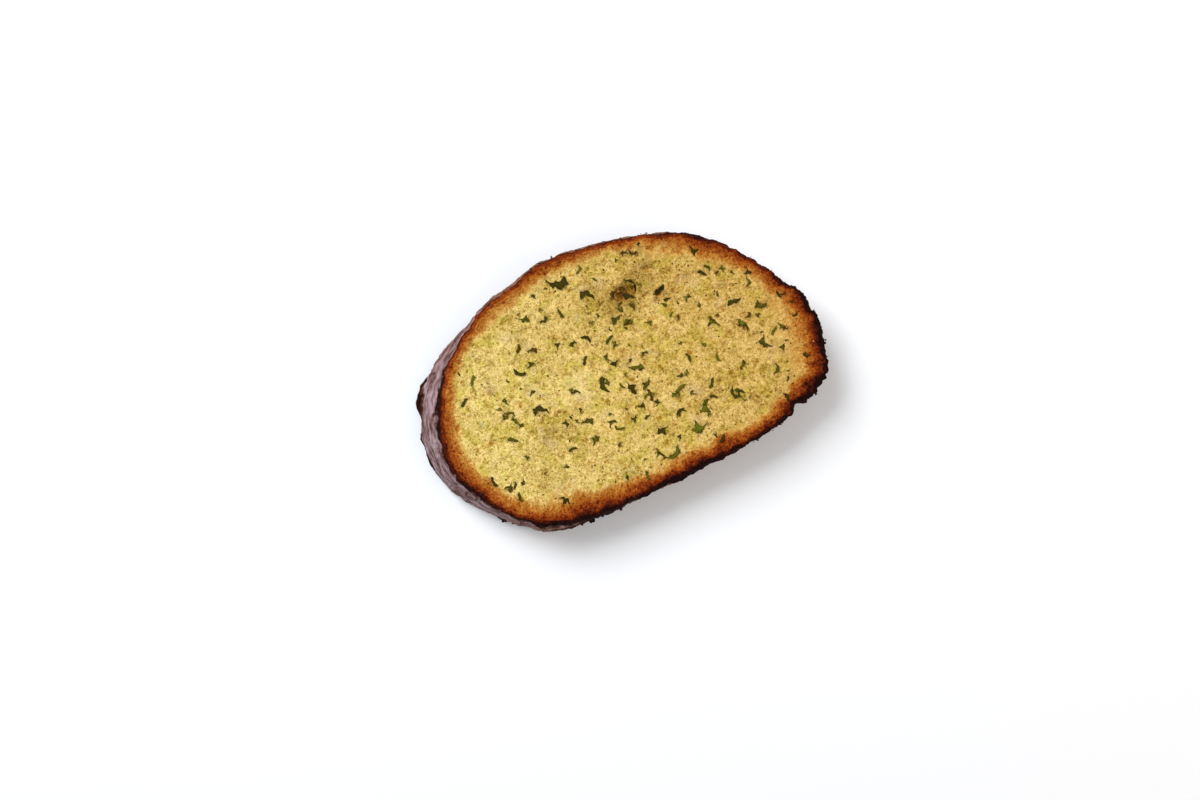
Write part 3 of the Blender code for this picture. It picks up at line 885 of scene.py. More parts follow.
def crumb_grain_group():
    """The crumb's fine texture: Strands is 1 on the curled walls of its cells, Cells is how deep a cell is,
    Creases is 1 in thin folds that the crumb paints dark as shade, Grain is fine noise, Pits is 1 in small
    pits that it paints dark as shade and Stains is 1 where butter has browned a spot."""
    outputs = [(name, FLOAT) for name in ("Strands", "Cells", "Creases", "Grain", "Pits", "Stains")]
    group, sheet, entry, leave = new_group("crumb_grain", [("Vector", VECTOR)], outputs)
    at = entry["Vector"]
    winding = sheet.bent(at, 620.0, 2.0, 2.2 * MM)
    walls, depths = [], []
    for size in (1.5 * MM, 0.9 * MM):
        settings = {"feature": "DISTANCE_TO_EDGE"}
        edges = sheet.add("ShaderNodeTexVoronoi", settings, Vector=winding, Scale=1.0 / size)
        _, own = sheet.cells(winding, size)
        walls.append(sheet.range(edges.outputs["Distance"], 0.11, 0.02, smooth=True))
        inner = sheet.range(edges.outputs["Distance"], 0.03, 0.32, smooth=True)
        depths.append(sheet.times(inner, sheet.range(own["Red"], 0.1, 1.0)))
    coarse = sheet.ridges(at, 2.1 * MM, 0.14, distortion=2.2)
    strands = sheet.math("MAXIMUM", coarse, sheet.times(sheet.math("MAXIMUM", *walls), 0.75))
    depth = sheet.math("MAXIMUM", depths[0], sheet.times(depths[1], 0.7))
    moved = sheet.moved(at, Location=(0.3, 0.1, 0.2))
    creases = sheet.ridges(moved, 1.9 * MM, 0.05, distortion=2.0)
    creases = sheet.times(creases, sheet.range(sheet.noise(moved, 3.2 * MM), 0.48, 0.62))
    grain = sheet.noise(at, 0.75 * MM, detail=3.0, roughness=0.62, distortion=0.6)
    grain = sheet.plus(grain, sheet.centred(sheet.noise(moved, 0.36 * MM, detail=1.0), 0.5))
    away, own = sheet.cells(sheet.bent(at, 1100.0, 1.0, 0.9 * MM), 1.35 * MM)
    pits = sheet.times(sheet.range(away, 0.36, 0.16, smooth=True), sheet.range(own["Red"], 0.9, 0.96))
    pits = sheet.times(pits, sheet.range(sheet.noise(at, 14.0 * MM), 0.4, 0.6))
    away, own = sheet.cells(winding, 4.2 * MM)
    stains = sheet.times(sheet.range(away, 0.34, 0.12, smooth=True), sheet.range(own["Green"], 0.6, 0.8))
    made = (strands, depth, creases, grain, pits, stains)
    for (name, _), value in zip(outputs, made):
        sheet.tree.links.new(value, leave[name])
    return group


def burn_group(colours):
    """The colour of toasted bread: Toasting runs from 0, golden, to 1, black."""
    group, sheet, entry, leave = new_group("burn_colour", [("Toasting", FLOAT)], [("Color", COLOUR)])
    stops = [(position, getattr(colours, name)) for position, name in BURN_STOPS]
    sheet.tree.links.new(sheet.ramp(entry["Toasting"], stops), leave["Color"])
    return group


def shared(name, make):
    """A shared node group, made at its first use."""
    return bpy.data.node_groups.get(name) or make()


def new_material(name):
    """A material with a Principled BSDF. Gives it with a sheet and the shader."""
    material = bpy.data.materials.new(name)
    material.use_nodes = True
    sheet = Sheet(material.node_tree)
    return material, sheet, material.node_tree.nodes["Principled BSDF"]


def finish_surface(sheet, shader, base, roughness, specular, bumps=None):
    """Gives a material its colour, roughness and sheen. Bumps are their strength, depth and height."""
    links = {"Base Color": base, "Roughness": roughness}
    if bumps:
        strength, depth, height = bumps
        normal = sheet.add("ShaderNodeBump", Strength=strength, Distance=depth, Height=height)
        links["Normal"] = normal.outputs["Normal"]
    for socket, value in links.items():
        sheet.tree.links.new(value, shader.inputs[socket])
    shader.inputs["Specular IOR Level"].default_value = specular


def burnt_colour(sheet, burn, toasting):
    """The colour of bread that is toasted this far."""
    return sheet.group(shared("burn_colour", lambda: burn_group(burn)), Toasting=toasting)["Color"]


def crumb_material(crumb, burn):
    """Buttered white crumb: pale strands over darker cells, soaked in places, browned towards the rim, with
    painted highlights on the strands and painted shade in cells, creases, pits, holes, round the holes and
    towards the narrow end.
    """
    material, sheet, shader = new_material("toasted_crumb")
    at = sheet.coordinates()
    grain = sheet.group(shared("crumb_grain", crumb_grain_group), Vector=at)
    hollow = sheet.range(sheet.attribute("hollow"), 0.05 * MM, 0.75 * MM)
    # lit is painted light and shade: strands are raised as painted highlights, and deep cells, creases and
    # hollows are lowered as painted shade, along with real grain and tone.
    lit = sheet.plus(sheet.centred(grain["Strands"], 0.42, 0.3), sheet.centred(grain["Grain"], 0.72))
    lit = sheet.minus(lit, sheet.centred(grain["Cells"], 0.34, 0.3))
    lit = sheet.minus(lit, sheet.times(grain["Creases"], 0.28))
    lit = sheet.minus(lit, sheet.centred(hollow, 0.34, 0.25))
    lit = sheet.plus(lit, 0.5)
    tone = sheet.attribute("tone")
    lit = sheet.plus(lit, sheet.times(tone, 0.24))
    # The ramp runs from painted shadow in pits and deep cells, through cell floors that are partly butter
    # and partly painted shade, to strands with a painted highlight.
    stops = ((0.05, crumb.shadow), (0.32, crumb.cell), (0.54, crumb.middle), (0.95, crumb.strand_and_highlight))
    base = sheet.ramp(lit, stops)
    # Painted shade in the pits.
    base = sheet.mix(sheet.times(grain["Pits"], 0.5), base, crumb.shadow)
    base = sheet.darken(sheet.times(grain["Stains"], 0.9), base, crumb.stain)

    soaked = sheet.range(sheet.noise(at, 5.0 * MM, distortion=0.5), 0.46, 0.64, smooth=True)
    base = sheet.darken(sheet.times(soaked, 0.7), base, crumb.soaked)
    browned = sheet.range(sheet.noise(at, 2.8 * MM, distortion=0.8), 0.54, 0.7, smooth=True)
    base = sheet.darken(sheet.times(browned, 0.6), base, crumb.browned)
    dry = sheet.range(sheet.noise(at, 7.0 * MM), 0.58, 0.72, smooth=True)
    base = sheet.mix(sheet.times(dry, 0.3), base, crumb.dry)
    base = sheet.mix(sheet.range(tone, 0.35, 1.0, 0.0, 0.5), base, crumb.veil)
    # Painted shade: the dim tone round the holes darkens the crumb as the shade of its hollow; elsewhere it
    # gives the crumb's own dimmer patches.
    base = sheet.darken(sheet.range(tone, -0.25, -1.0, 0.0, 0.75), base, crumb.sunken)
    # Painted shade in the holes: their sides and floors darken with depth, as shade falls there.
    dim = sheet.plus(sheet.attribute("hole"), sheet.centred(grain["Grain"], -2.2 * MM))
    dim = sheet.minus(dim, sheet.times(grain["Strands"], 0.5 * MM))
    base = sheet.darken(sheet.range(dim, 0.2 * MM, 1.2 * MM, 0.0, 0.8), base, crumb.bowl)
    base = sheet.darken(sheet.range(dim, 1.1 * MM, 2.5 * MM, 0.0, 0.9), base, crumb.hole)
    # Painted shade: the crumb darkens towards the narrow end. This is partly its warmer tone and partly the
    # key light falling off.
    across = sheet.add("ShaderNodeSeparateXYZ", Vector=at).outputs["X"]
    base = sheet.darken(sheet.range(across, -45.0 * MM, 60.0 * MM), base, crumb.warm_and_shaded)

    tips = sheet.range(sheet.noise(at, 9.0 * MM, detail=3.0), 0.45, 0.7)
    tips = sheet.times(tips, sheet.range(grain["Grain"], 0.55, 0.7))
    toasting = sheet.plus(sheet.attribute("toasting"), sheet.times(tips, 0.16))
    near_rim = sheet.times(sheet.range(toasting, 0.04, 0.35), sheet.range(toasting, 0.5, 0.85, 1.0, 0.8))
    # The rim's browning follows lit, so the painted light and shade carry into the toasted colour too.
    uneven = sheet.times(sheet.centred(lit, -0.5), near_rim)
    uneven = sheet.plus(uneven, sheet.times(sheet.times(grain["Pits"], near_rim), 0.25))
    toasted = sheet.plus(toasting, uneven)
    base = sheet.mix(sheet.range(toasted, 0.05, 0.3, smooth=True), base, burnt_colour(sheet, burn, toasted))
    height = sheet.plus(sheet.times(grain["Strands"], 0.6), grain["Grain"])
    height = sheet.minus(height, sheet.times(grain["Pits"], 0.7))
    roughness = sheet.range(grain["Strands"], 0.0, 1.0, 0.7, 0.9)
    finish_surface(sheet, shader, base, roughness, 0.06, (0.8, 0.3 * MM, height))
    return material


def crust_material(crust, burn):
    """The loaf's crust: a dry brown in lines that run round it, charred along its edges. A painted mauve
    sheen stands for the reflection of cool light, and its grooves are painted darker as shade. Its lip
    carries on the crumb's browning."""
    material, sheet, shader = new_material("loaf_crust")
    at = sheet.coordinates()
    lines = sheet.noise(sheet.moved(at, Scale=(0.22, 0.22, 0.8)), 1.5 * MM, detail=4.0, roughness=0.6)
    blotches = sheet.noise(at, 5.5 * MM, detail=3.0, distortion=0.6)
    fine = sheet.noise(at, 0.5 * MM, detail=3.0, roughness=0.7)
    # Painted shade and highlight: along the lines that also make the bump, grooves take the dark groove
    # colour and raised lines a pale one.
    wall = sheet.ramp(lines, ((0.38, crust.groove), (0.49, crust.middle), (0.6, crust.lilac_sheen)))
    wall = sheet.mix(sheet.range(fine, 0.42, 0.7, 0.0, 0.3), wall, crust.lilac_sheen)
    plain = sheet.ramp(lines, ((0.3, crust.groove), (0.5, crust.plain), (0.72, crust.tan)))
    # Painted reflection: the lilac sheen is mixed in where dust is high, and plain brown elsewhere.
    dust = sheet.plus(sheet.attribute("dust"), sheet.centred(blotches, 0.8))
    wall = sheet.mix(sheet.range(dust, 0.2, 0.8), plain, wall)
    wall = sheet.mix(sheet.range(blotches, 0.5, 0.76, 0.0, 0.5, smooth=True), wall, crust.groove)
    char = sheet.plus(sheet.attribute("char"), sheet.centred(fine, 0.7))
    char = sheet.minus(char, sheet.centred(lines, 0.9))
    burnt = sheet.ramp(char, ((0.36, crust.browned), (0.58, crust.scorched), (0.95, burn.char)))
    wall = sheet.mix(sheet.range(char, 0.28, 0.66, smooth=True), wall, burnt)
    grit = sheet.noise(at, 0.8 * MM, roughness=0.6, distortion=0.5)
    specks = sheet.times(sheet.range(grit, 0.6, 0.7), sheet.range(blotches, 0.42, 0.58, 0.0, 0.85))
    wall = sheet.mix(specks, wall, crust.scorched)
    wall = sheet.mix(sheet.attribute("crack"), wall, crust.scorched)
    toasting = sheet.plus(sheet.attribute("toasting"), sheet.centred(fine, 0.45))
    toasting = sheet.plus(toasting, sheet.centred(grit, 0.5))
    base = sheet.mix(sheet.attribute("lip"), wall, burnt_colour(sheet, burn, toasting))
    height = sheet.plus(lines, sheet.times(fine, 0.5))
    roughness = sheet.range(fine, 0.3, 0.7, 0.62, 0.9)
    finish_surface(sheet, shader, base, roughness, 0.04, (0.9, 0.5 * MM, height))
    return material


def parsley_material(parsley):
    """Dried parsley: each scrap its own green, olive or brown, mottled, with a dark border."""
    material, sheet, shader = new_material("dried_parsley")
    at = sheet.coordinates()
    mottle = sheet.noise(at, 0.6 * MM, detail=3.0)
    shift = sheet.plus(sheet.attribute("tint"), sheet.centred(mottle, 0.9), clamp=True)
    stops = (
        (0.0, parsley.dark),
        (0.35, parsley.green),
        (0.58, parsley.olive),
        (0.7, parsley.bright),
        (0.8, parsley.dark),
        (0.95, parsley.brown),
    )
    border = sheet.range(sheet.attribute("rib"), 0.45, 0.05, smooth=True)
    base = sheet.mix(sheet.times(border, 0.8), sheet.ramp(shift, stops), parsley.border)
    wrinkles = sheet.noise(at, 0.4 * MM)
    roughness = sheet.range(mottle, 0.3, 0.7, 0.5, 0.8)
    finish_surface(sheet, shader, base, roughness, 0.05, (0.6, 0.12 * MM, wrinkles))
    return material


def butter_material(butter):
    """Amber drops of garlic butter that the toasting has set."""
    material, sheet, shader = new_material("garlic_butter")
    cloud = sheet.noise(sheet.coordinates(), 0.9 * MM)
    base = sheet.ramp(cloud, ((0.38, butter.deep), (0.64, butter.amber)))
    finish_surface(sheet, shader, base, sheet.range(cloud, 0.3, 0.7, 0.35, 0.5), 0.3)
    shader.inputs["Subsurface Weight"].default_value = 0.2
    shader.inputs["Subsurface Radius"].default_value = (1.2 * MM, 0.7 * MM, 0.2 * MM)
    shader.inputs["Subsurface Scale"].default_value = 1.0
    return material


def crumbs_material(burn):
    """Loose toasted crumbs, each its own brown."""
    material, sheet, shader = new_material("loose_crumbs")
    grain = sheet.noise(sheet.coordinates(), 0.3 * MM, detail=3.0)
    tint = sheet.plus(sheet.attribute("tint"), sheet.centred(grain, 0.4))
    base = burnt_colour(sheet, burn, tint)
    roughness = sheet.range(grain, 0.3, 0.7, 0.6, 0.9)
    finish_surface(sheet, shader, base, roughness, 0.15, (0.7, 0.2 * MM, grain))
    return material


# ---------------------------------------------------------------------------------------------------
# Settings
# ---------------------------------------------------------------------------------------------------


class BurnSettings(bpy.types.PropertyGroup):
    """Colours of bread as it toasts."""

    gold: colour_property("Gold", "Lightly toasted crumb", (208, 164, 86))
    deep_gold: colour_property("Deep gold", "Toasted crumb", (200, 149, 72))
    amber: colour_property("Amber", "Well toasted crumb", (188, 131, 56))
    orange_brown: colour_property("Orange brown", "Inner part of the rim", (176, 110, 38))
    russet: colour_property("Russet", "Middle of the rim", (161, 84, 22))
    chestnut: colour_property("Chestnut", "Outer part of the rim", (141, 62, 13))
    brown: colour_property("Brown", "Scorched rim", (112, 39, 6))
    dark_brown: colour_property("Dark brown", "Nearly burnt", (76, 21, 4))
    char: colour_property("Char", "Burnt edge", (26, 6, 3))


class CrumbSettings(bpy.types.PropertyGroup):
    """The slice's crumb."""

    columns: count_property("Columns", "Mesh columns across the cut face", 340)
    rows: count_property("Rows", "Mesh rows across the cut face", 220)
    # strand_and_highlight is the strands' pale colour with a painted highlight; cell and shadow are painted
    # shade in cells and pits, partly butter.
    strand_and_highlight: colour_property("Strand", "Dry strands between the cells", (241, 214, 134))
    middle: colour_property("Crumb", "The crumb's middle colour", (200, 169, 86))
    cell: colour_property("Cell", "The floor of the cells", (172, 141, 62))
    shadow: colour_property("Shadow", "Pits and the deepest cells", (112, 84, 14))
    stain: colour_property("Stain", "Multiplies browned spots", (206, 174, 104))
    soaked: colour_property("Soaked", "Multiplies the crumb where butter soaked in", (226, 232, 166))
    browned: colour_property("Browned", "Multiplies soft brown patches", (222, 196, 136))
    dry: colour_property("Dry", "Crumb that the butter missed", (222, 200, 152))
    # sunken darkens the dim patches: painted shade round the holes, and the crumb's own tone elsewhere.
    sunken: colour_property("Sunken", "Multiplies the dim crumb round the holes", (206, 196, 180))
    # bowl and hole are painted shade on the sides and floors of the holes.
    veil: colour_property("Veil", "Palest, driest patches", (226, 210, 146))
    bowl: colour_property("Bowl", "Multiplies the sides of the holes", (222, 198, 150))
    hole: colour_property("Hole", "Multiplies the floor of the deepest hole", (150, 126, 104))
    # warm_and_shaded is a warmer tone plus painted shade where the light falls off towards the narrow end.
    warm_and_shaded: colour_property("Warm", "Multiplies the crumb towards the narrow end", (238, 222, 206))


class CrustSettings(bpy.types.PropertyGroup):
    """The loaf's crust."""

    columns: count_property("Columns", "Mesh columns round the crust", 960)
    rings: count_property("Rings", "Mesh rings down the crust's wall", 42)
    # lilac_sheen is a painted reflection of cool light on the crust, not the crust's own colour.
    lilac_sheen: colour_property("Dusty", "Dry raised crust", (170, 144, 146))
    middle: colour_property("Crust", "The crust's middle colour", (135, 104, 101))
    plain: colour_property("Plain", "The crust's middle colour where no dust lies", (122, 82, 60))
    # tan is a painted highlight on raised lines; groove is painted shade in the grooves and also the darker
    # tone of blotches.
    tan: colour_property("Tan", "Raised crust where no dust lies", (158, 116, 84))
    groove: colour_property("Groove", "Grooves and blotches", (78, 46, 38))
    browned: colour_property("Browned", "The start of a scorched edge", (102, 52, 26))
    scorched: colour_property("Scorched", "Scorched edges and cracks", (54, 24, 13))


class ParsleySettings(bpy.types.PropertyGroup):
    """Dried parsley."""

    seed: count_property("Seed", "Draws the scraps' colours, curls and fine flecks", 31)
    small_scraps: count_property("Small scraps", "Scraps too small for the solid", 95)
    flecks: count_property("Flecks", "Specks of leaf", 260)
    scrap_thickness: length_property("Scrap thickness", "Thickness of a scrap", 0.18)
    border: colour_property("Border", "Dried dark edge of a scrap", (36, 26, 2))
    dark: colour_property("Dark green", "Darkest leaf", (52, 42, 4))
    green: colour_property("Green", "Leaf in shade", (70, 66, 6))
    olive: colour_property("Olive", "Dried leaf", (98, 88, 16))
    bright: colour_property("Bright green", "Fresh leaf", (104, 108, 16))
    brown: colour_property("Brown", "Scorched leaf", (92, 58, 10))


class ButterSettings(bpy.types.PropertyGroup):
    """Set drops of garlic butter."""

    seed: count_property("Seed", "Draws the drops' places and sizes", 47)
    drops: count_property("Drops", "Drops besides the large ones", 12)
    deep: colour_property("Deep", "Thick butter", (142, 98, 18))
    amber: colour_property("Amber", "Thin butter", (172, 132, 48))


class LooseCrumbSettings(bpy.types.PropertyGroup):
    """Loose crumbs."""

    seed: count_property("Seed", "Draws the crumbs' places and sizes", 59)
    rim_crumbs: count_property("Rim crumbs", "Crumbs along the rim", 260)
    face_crumbs: count_property("Face crumbs", "Crumbs on the cut face", 60)


class StageSettings(bpy.types.PropertyGroup):
    """Floor, light and camera."""

    floor: colour_property("Floor", "The floor's colour", (238, 238, 238))
    sky: colour_property("Sky", "Light from all round", (236, 242, 250))
    key: stage_property("Key", "Power of the key light", 8.7, "POWER")
    fill: stage_property("Fill", "Power of the fill light", 2.3, "POWER")
    lens: stage_property("Lens", "Focal length", 38.2, "CAMERA")


SETTINGS = {
    "toast_burn": BurnSettings,
    "toast_crumb": CrumbSettings,
    "toast_crust": CrustSettings,
    "toast_parsley": ParsleySettings,
    "toast_butter": ButterSettings,
    "toast_loose": LooseCrumbSettings,
    "toast_stage": StageSettings,
}


# ---------------------------------------------------------------------------------------------------
# Pieces
# ---------------------------------------------------------------------------------------------------


def half_width(along, side, shift, kind):
    """Half width of a scrap on one side of it, 1 or -1, at a place along it from -0.5 to 0.5, as a share
    of its length. Each side has a tooth at a place of its own."""
    body, tooth = kind[:2]
    taper = 1.0 - 0.85 * abs(2.0 * along) ** 3
    tooth_at = TOOTH_REACH * math.sin(1.7 * shift + 1.3 * side)
    return taper * (body + tooth * bump(along - tooth_at, TOOTH_WIDTH))


def leaf_edge(along, side, shift, kind):
    """A scrap's half width with the lobes and the narrow stem end that the solid leaves out."""
    flip = math.copysign(1.0, math.sin(2.3 * shift))
    teeth = 0.8 * noise.noise(Vector((along * 14.0, side * 2.0, shift)))
    plain = half_width(along, side, shift, kind)
    if kind != LEAF:
        return plain * (1.2 + 0.9 * ease(0.15, 0.4, along * flip) + teeth)
    lobes = 0.5 + 0.85 * abs(math.sin((2.4 * along + 0.3 * side) * math.pi + shift)) ** 1.4
    stem = ease(-0.15, 0.25, along * flip)
    return plain * max(0.12, lobes + teeth) * (1.15 - 0.85 * stem)


def add_scrap(shape, piece, settings, draw, layers, segments):
    """Adds one thin wavy scrap of parsley that lies on the crumb."""
    place, length, turn, kind = piece
    shift = (place.x * 7.0 + place.y * 3.0) / MM
    curl = draw.uniform(0.08, 0.3) * MM
    tint = draw.random() * (0.8 if length > LARGE_SCRAP else 1.0)
    in_hole = face_height(place) < crumb_height(place)
    if in_hole or toasting_at(place, inside_edge(place)) > DARK_FROM:
        tint = 0.0
    lift = draw.uniform(0.05, 0.2) * MM
    columns, rows = segments
    made = bmesh.ops.create_grid(shape, x_segments=columns, y_segments=rows, size=0.5)["verts"]
    spin = Matrix.Rotation(math.radians(turn), 2)
    for point in made:
        along, across = point.co.x, 2.0 * point.co.y
        arc = (0.25 - along**2) * kind[2] * math.sin(shift)
        arc += 0.5 * kind[2] * max(0.0, abs(along) - 0.22) * math.cos(3.1 * shift + (along > 0.0))
        wide = across * leaf_edge(along, math.copysign(1.0, across), shift, kind)
        ground = place + spin @ Vector((along, arc + wide)) * length
        edge = across**2 * math.cos(5.0 * along + shift)
        wave = math.sin(7.0 * along + shift)
        height = face_height(ground) + lift + curl * (0.5 * wave + 0.6 * edge)
        point.co = (ground.x, ground.y, height)
        point[layers["tint"]] = tint
        point[layers["rib"]] = 1.0 - abs(across)
    faces = list({face for point in made for face in point.link_faces})
    raised = bmesh.ops.extrude_face_region(shape, geom=faces)["geom"]
    top = [item for item in raised if isinstance(item, bmesh.types.BMVert)]
    bmesh.ops.translate(shape, vec=(0.0, 0.0, settings.scrap_thickness), verts=top)


def add_lump(shape, place, size, draw, layers, tint, subdivisions, rough):
    """Adds one uneven lump, turned at random. The size is its three diameters."""
    made = bmesh.ops.create_icosphere(shape, subdivisions=subdivisions, radius=0.5)["verts"]
    seed = Vector((draw.uniform(0, 90), draw.uniform(0, 90), draw.uniform(0, 90)))
    for point in made:
        point.co *= 1.0 + rough * noise.noise(point.co * 2.6 + seed)
        point[layers["tint"]] = tint
    bmesh.ops.scale(shape, vec=size, verts=made)
    turn = Euler((draw.uniform(-0.5, 0.5), draw.uniform(-0.5, 0.5), draw.uniform(0, 6.3))).to_matrix()
    bmesh.ops.rotate(shape, matrix=turn, verts=made)
    bmesh.ops.translate(shape, vec=place, verts=made)


def crumb_sizes(draw, size):
    """A loose crumb's three diameters."""
    return size, size * draw.uniform(0.6, 0.9), size * 0.6


def random_place(draw, clear, density=lambda place: 1.0):
    """A place on the cut face drawn by a density, at least this far inside its edge."""
    while True:
        place = Vector((draw.uniform(*FACE_X), draw.uniform(*FACE_Y))) * MM
        if draw.random() < density(place) and inside_edge(place) > clear:
            return place


class ToastOperator:
    """What the operators share."""

    bl_options = {"REGISTER", "UNDO"}


class TOAST_OT_crumb(ToastOperator, bpy.types.Operator):
    """Builds the crumb: the cut face with its cells and holes, and the underside"""

    bl_idname = "toast.crumb"
    bl_label = "Crumb"

    def execute(self, context):
        settings = context.scene.toast_crumb
        material = crumb_material(settings, context.scene.toast_burn)
        finish_piece(crumb_body(settings), "crumb", material)
        return {"FINISHED"}


class TOAST_OT_crust(ToastOperator, bpy.types.Operator):
    """Builds the crust round the crumb"""

    bl_idname = "toast.crust"
    bl_label = "Crust"

    def execute(self, context):
        settings = context.scene.toast_crust
        material = crust_material(settings, context.scene.toast_burn)
        finish_piece(crust_band(settings), "crust", material)
        return {"FINISHED"}


class TOAST_OT_parsley(ToastOperator, bpy.types.Operator):
    """Strews the scraps of parsley and the fine flecks between them"""

    bl_idname = "toast.parsley"
    bl_label = "Parsley"

    def execute(self, context):
        settings = context.scene.toast_parsley
        draw = random.Random(settings.seed)
        material = parsley_material(settings)
        shape, layers = new_shape("tint", "rib")
        curls = [(Vector((x, y)) * MM, length * MM, turn, CURL) for x, y, length, turn in HOLE_CURLS]
        for piece in PIECES + curls:
            add_scrap(shape, piece, settings, draw, layers, SCRAP_SEGMENTS[piece[3]])
        for _ in range(settings.small_scraps):
            length = draw.uniform(*SMALL_SCRAP) * MM
            kind = LEAF if draw.random() < 0.5 else STRIP
            place, turn = random_place(draw, 3.0 * MM, thickness_strewn), draw.uniform(0, 360)
            add_scrap(shape, (place, length, turn, kind), settings, draw, layers, SMALL_SEGMENTS)
            if draw.random() < FORKED:
                fork = turn + draw.choice(FORK_TURNS)
                place += Vector((FORK_AT * length, 0.0)) @ Matrix.Rotation(-math.radians(fork), 2)
                piece = (place, FORK_LENGTH * length, fork, STRIP)
                add_scrap(shape, piece, settings, draw, layers, FORK_SEGMENTS)
        finish_piece(shape, "parsley_scraps", material)

        shape, layers = new_shape("tint")
        for _ in range(settings.flecks):
            place = random_place(draw, 6.0 * MM)
            height = face_height(place) - 0.04 * MM
            long = draw.uniform(*FLECK) * MM
            size = (long, long * draw.uniform(0.3, 0.6), 0.28 * MM)
            tint = draw.choice(FLECK_TINTS)
            add_lump(shape, (place.x, place.y, height), size, draw, layers, tint, 1, 0.5)
        finish_piece(shape, "parsley_flecks", material)
        return {"FINISHED"}


class TOAST_OT_butter(ToastOperator, bpy.types.Operator):
    """Sets drops of garlic butter into the crumb"""

    bl_idname = "toast.butter"
    bl_label = "Garlic butter"

    def execute(self, context):
        settings = context.scene.toast_butter
        draw = random.Random(settings.seed)
        shape, layers = new_shape("tint")
        drops = [(Vector((x, y)) * MM, size * MM) for x, y, size in LARGE_DROPS]
        for _ in range(settings.drops):
            drops.append((random_place(draw, 8.0 * MM), draw.uniform(*SMALL_DROP) * MM))
        for place, size in drops:
            height = face_height(place) - 0.16 * size
            sizes = (size, size * draw.uniform(0.75, 1.0), size * 0.42)
            add_lump(shape, (place.x, place.y, height), sizes, draw, layers, 0.5, 3, 0.35)
        finish_piece(shape, "butter_drops", butter_material(settings))
        return {"FINISHED"}


class TOAST_OT_crumbs(ToastOperator, bpy.types.Operator):
    """Scatters loose toasted crumbs along the rim and over the cut face"""

    bl_idname = "toast.crumbs"
    bl_label = "Loose crumbs"

    def execute(self, context):
        settings = context.scene.toast_loose
        draw = random.Random(settings.seed)
        shape, layers = new_shape("tint")
        for _ in range(settings.rim_crumbs):
            share = draw.random()
            inset = draw.uniform(-0.45, 2.8) * MM
            smooth = edge_point(share)
            flat = edge_point(share, crag(smooth, 0.0) - inset)
            size = draw.uniform(*RIM_CRUMB) * MM
            sunk = draw.uniform(0.2, 1.5) * MM if inset < 0.5 * MM else 0.05 * MM
            height = crumb_height(flat) - sunk
            sizes = crumb_sizes(draw, size)
            tint = toasting_at(flat, inset) + draw.uniform(-0.1, 0.15)
            add_lump(shape, (flat.x, flat.y, height), sizes, draw, layers, tint, 2, 0.8)
        for _ in range(settings.face_crumbs):
            place = random_place(draw, 3.0 * MM)
            size = draw.uniform(*FACE_CRUMB) * MM
            sizes = crumb_sizes(draw, size)
            tint = draw.uniform(0.05, 0.35)
            add_lump(shape, (place.x, place.y, face_height(place)), sizes, draw, layers, tint, 2, 0.8)
        for degrees, size in BEADS:
            share = rim_share(degrees)
            flat = edge_point(share, crag(edge_point(share), 0.0) - 0.2 * MM)
            sizes = (size * MM, 0.8 * size * MM, 0.7 * size * MM)
            place = (flat.x, flat.y, crumb_height(flat) - 0.5 * MM)
            add_lump(shape, place, sizes, draw, layers, draw.uniform(*BEAD_TINT), 3, 0.5)
        for degrees, size, height in BURNT_BITS:
            place = crust_point(rim_share(degrees), 0.0, height * MM)
            sizes = (size * MM, 0.8 * size * MM, 1.3 * MM)
            add_lump(shape, place, sizes, draw, layers, BURNT_TINT, 3, 0.7)
        finish_piece(shape, "loose_crumbs", crumbs_material(context.scene.toast_burn))
        return {"FINISHED"}


def add_light(name, light, power):
    """A square area light that faces the slice."""
    (right, up, above), size, tint = light
    along = Vector((math.cos(CAMERA_TURN), math.sin(CAMERA_TURN), 0.0))
    across = Vector((-along.y, along.x, 0.0))
    lamp = bpy.data.lights.new(name, "AREA")
    lamp.energy = power
    lamp.size = size
    lamp.color = shade(*tint)[:3]
    made = bpy.data.objects.new(name, lamp)
    made.location = along * right + across * up + Vector((0.0, 0.0, above))
    made.rotation_euler = (-made.location).to_track_quat("-Z", "Y").to_euler()
    bpy.context.scene.collection.objects.link(made)


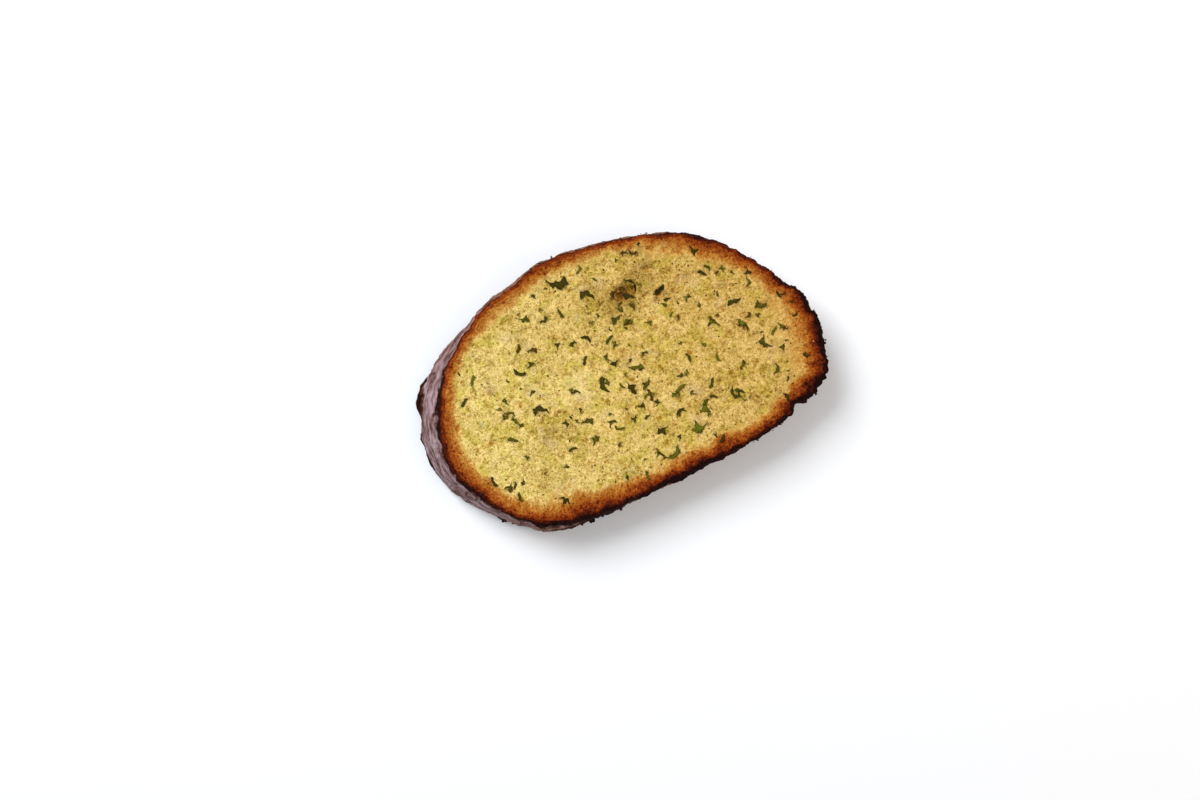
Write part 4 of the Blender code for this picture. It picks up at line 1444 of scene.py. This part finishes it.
class TOAST_OT_stage(ToastOperator, bpy.types.Operator):
    """Sets the floor, the light and the camera"""

    bl_idname = "toast.stage"
    bl_label = "Stage"

    def execute(self, context):
        settings = context.scene.toast_stage
        shape = bmesh.new()
        bmesh.ops.create_grid(shape, x_segments=1, y_segments=1, size=FLOOR_REACH)
        mesh = bpy.data.meshes.new("floor")
        shape.to_mesh(mesh)
        shape.free()
        material, _, shader = new_material("floor")
        shader.inputs["Base Color"].default_value = settings.floor
        shader.inputs["Roughness"].default_value = FLOOR_ROUGHNESS
        mesh.materials.append(material)
        floor = bpy.data.objects.new("floor", mesh)
        context.scene.collection.objects.link(floor)

        world = bpy.data.worlds.new("soft_light")
        world.use_nodes = True
        background = world.node_tree.nodes["Background"]
        background.inputs["Color"].default_value = settings.sky
        background.inputs["Strength"].default_value = SKY_STRENGTH
        context.scene.world = world
        add_light("key", KEY_LIGHT, settings.key)
        add_light("fill", FILL_LIGHT, settings.fill)

        lens = bpy.data.cameras.new("camera")
        lens.lens = settings.lens
        lens.sensor_width = 36.0
        camera = bpy.data.objects.new("camera", lens)
        camera.location = (OFFSET.x + CAMERA_OVER.x, OFFSET.y + CAMERA_OVER.y, THICKNESS + CAMERA_HEIGHT)
        camera.rotation_euler = (0.0, 0.0, CAMERA_TURN)
        context.scene.collection.objects.link(camera)
        context.scene.camera = camera
        context.scene.view_settings.view_transform = "Standard"
        return {"FINISHED"}


OPERATORS = (
    TOAST_OT_crumb,
    TOAST_OT_crust,
    TOAST_OT_parsley,
    TOAST_OT_butter,
    TOAST_OT_crumbs,
    TOAST_OT_stage,
)


class TOAST_PT_panel(bpy.types.Panel):
    """The toast's settings and operators"""

    bl_idname = "TOAST_PT_panel"
    bl_label = "Garlic Toast"
    bl_space_type = "VIEW_3D"
    bl_region_type = "UI"
    bl_category = "Toast"

    def draw(self, context):
        for operator in OPERATORS:
            self.layout.operator(operator.bl_idname)
        for name, group in SETTINGS.items():
            box = self.layout.box()
            box.label(text=group.__doc__.rstrip("."))
            for setting in group.__annotations__:
                box.prop(getattr(context.scene, name), setting)


def register():
    for name, group in SETTINGS.items():
        bpy.utils.register_class(group)
        setattr(bpy.types.Scene, name, bpy.props.PointerProperty(type=group))
    for operator in OPERATORS:
        bpy.utils.register_class(operator)
    bpy.utils.register_class(TOAST_PT_panel)


def unregister():
    bpy.utils.unregister_class(TOAST_PT_panel)
    for operator in reversed(OPERATORS):
        bpy.utils.unregister_class(operator)
    for name, group in reversed(SETTINGS.items()):
        delattr(bpy.types.Scene, name)
        bpy.utils.unregister_class(group)


def main():
    register()
    bpy.ops.toast.crumb()
    bpy.ops.toast.crust()
    bpy.ops.toast.parsley()
    bpy.ops.toast.butter()
    bpy.ops.toast.crumbs()
    bpy.ops.toast.stage()


if __name__ == "__main__":
    main()
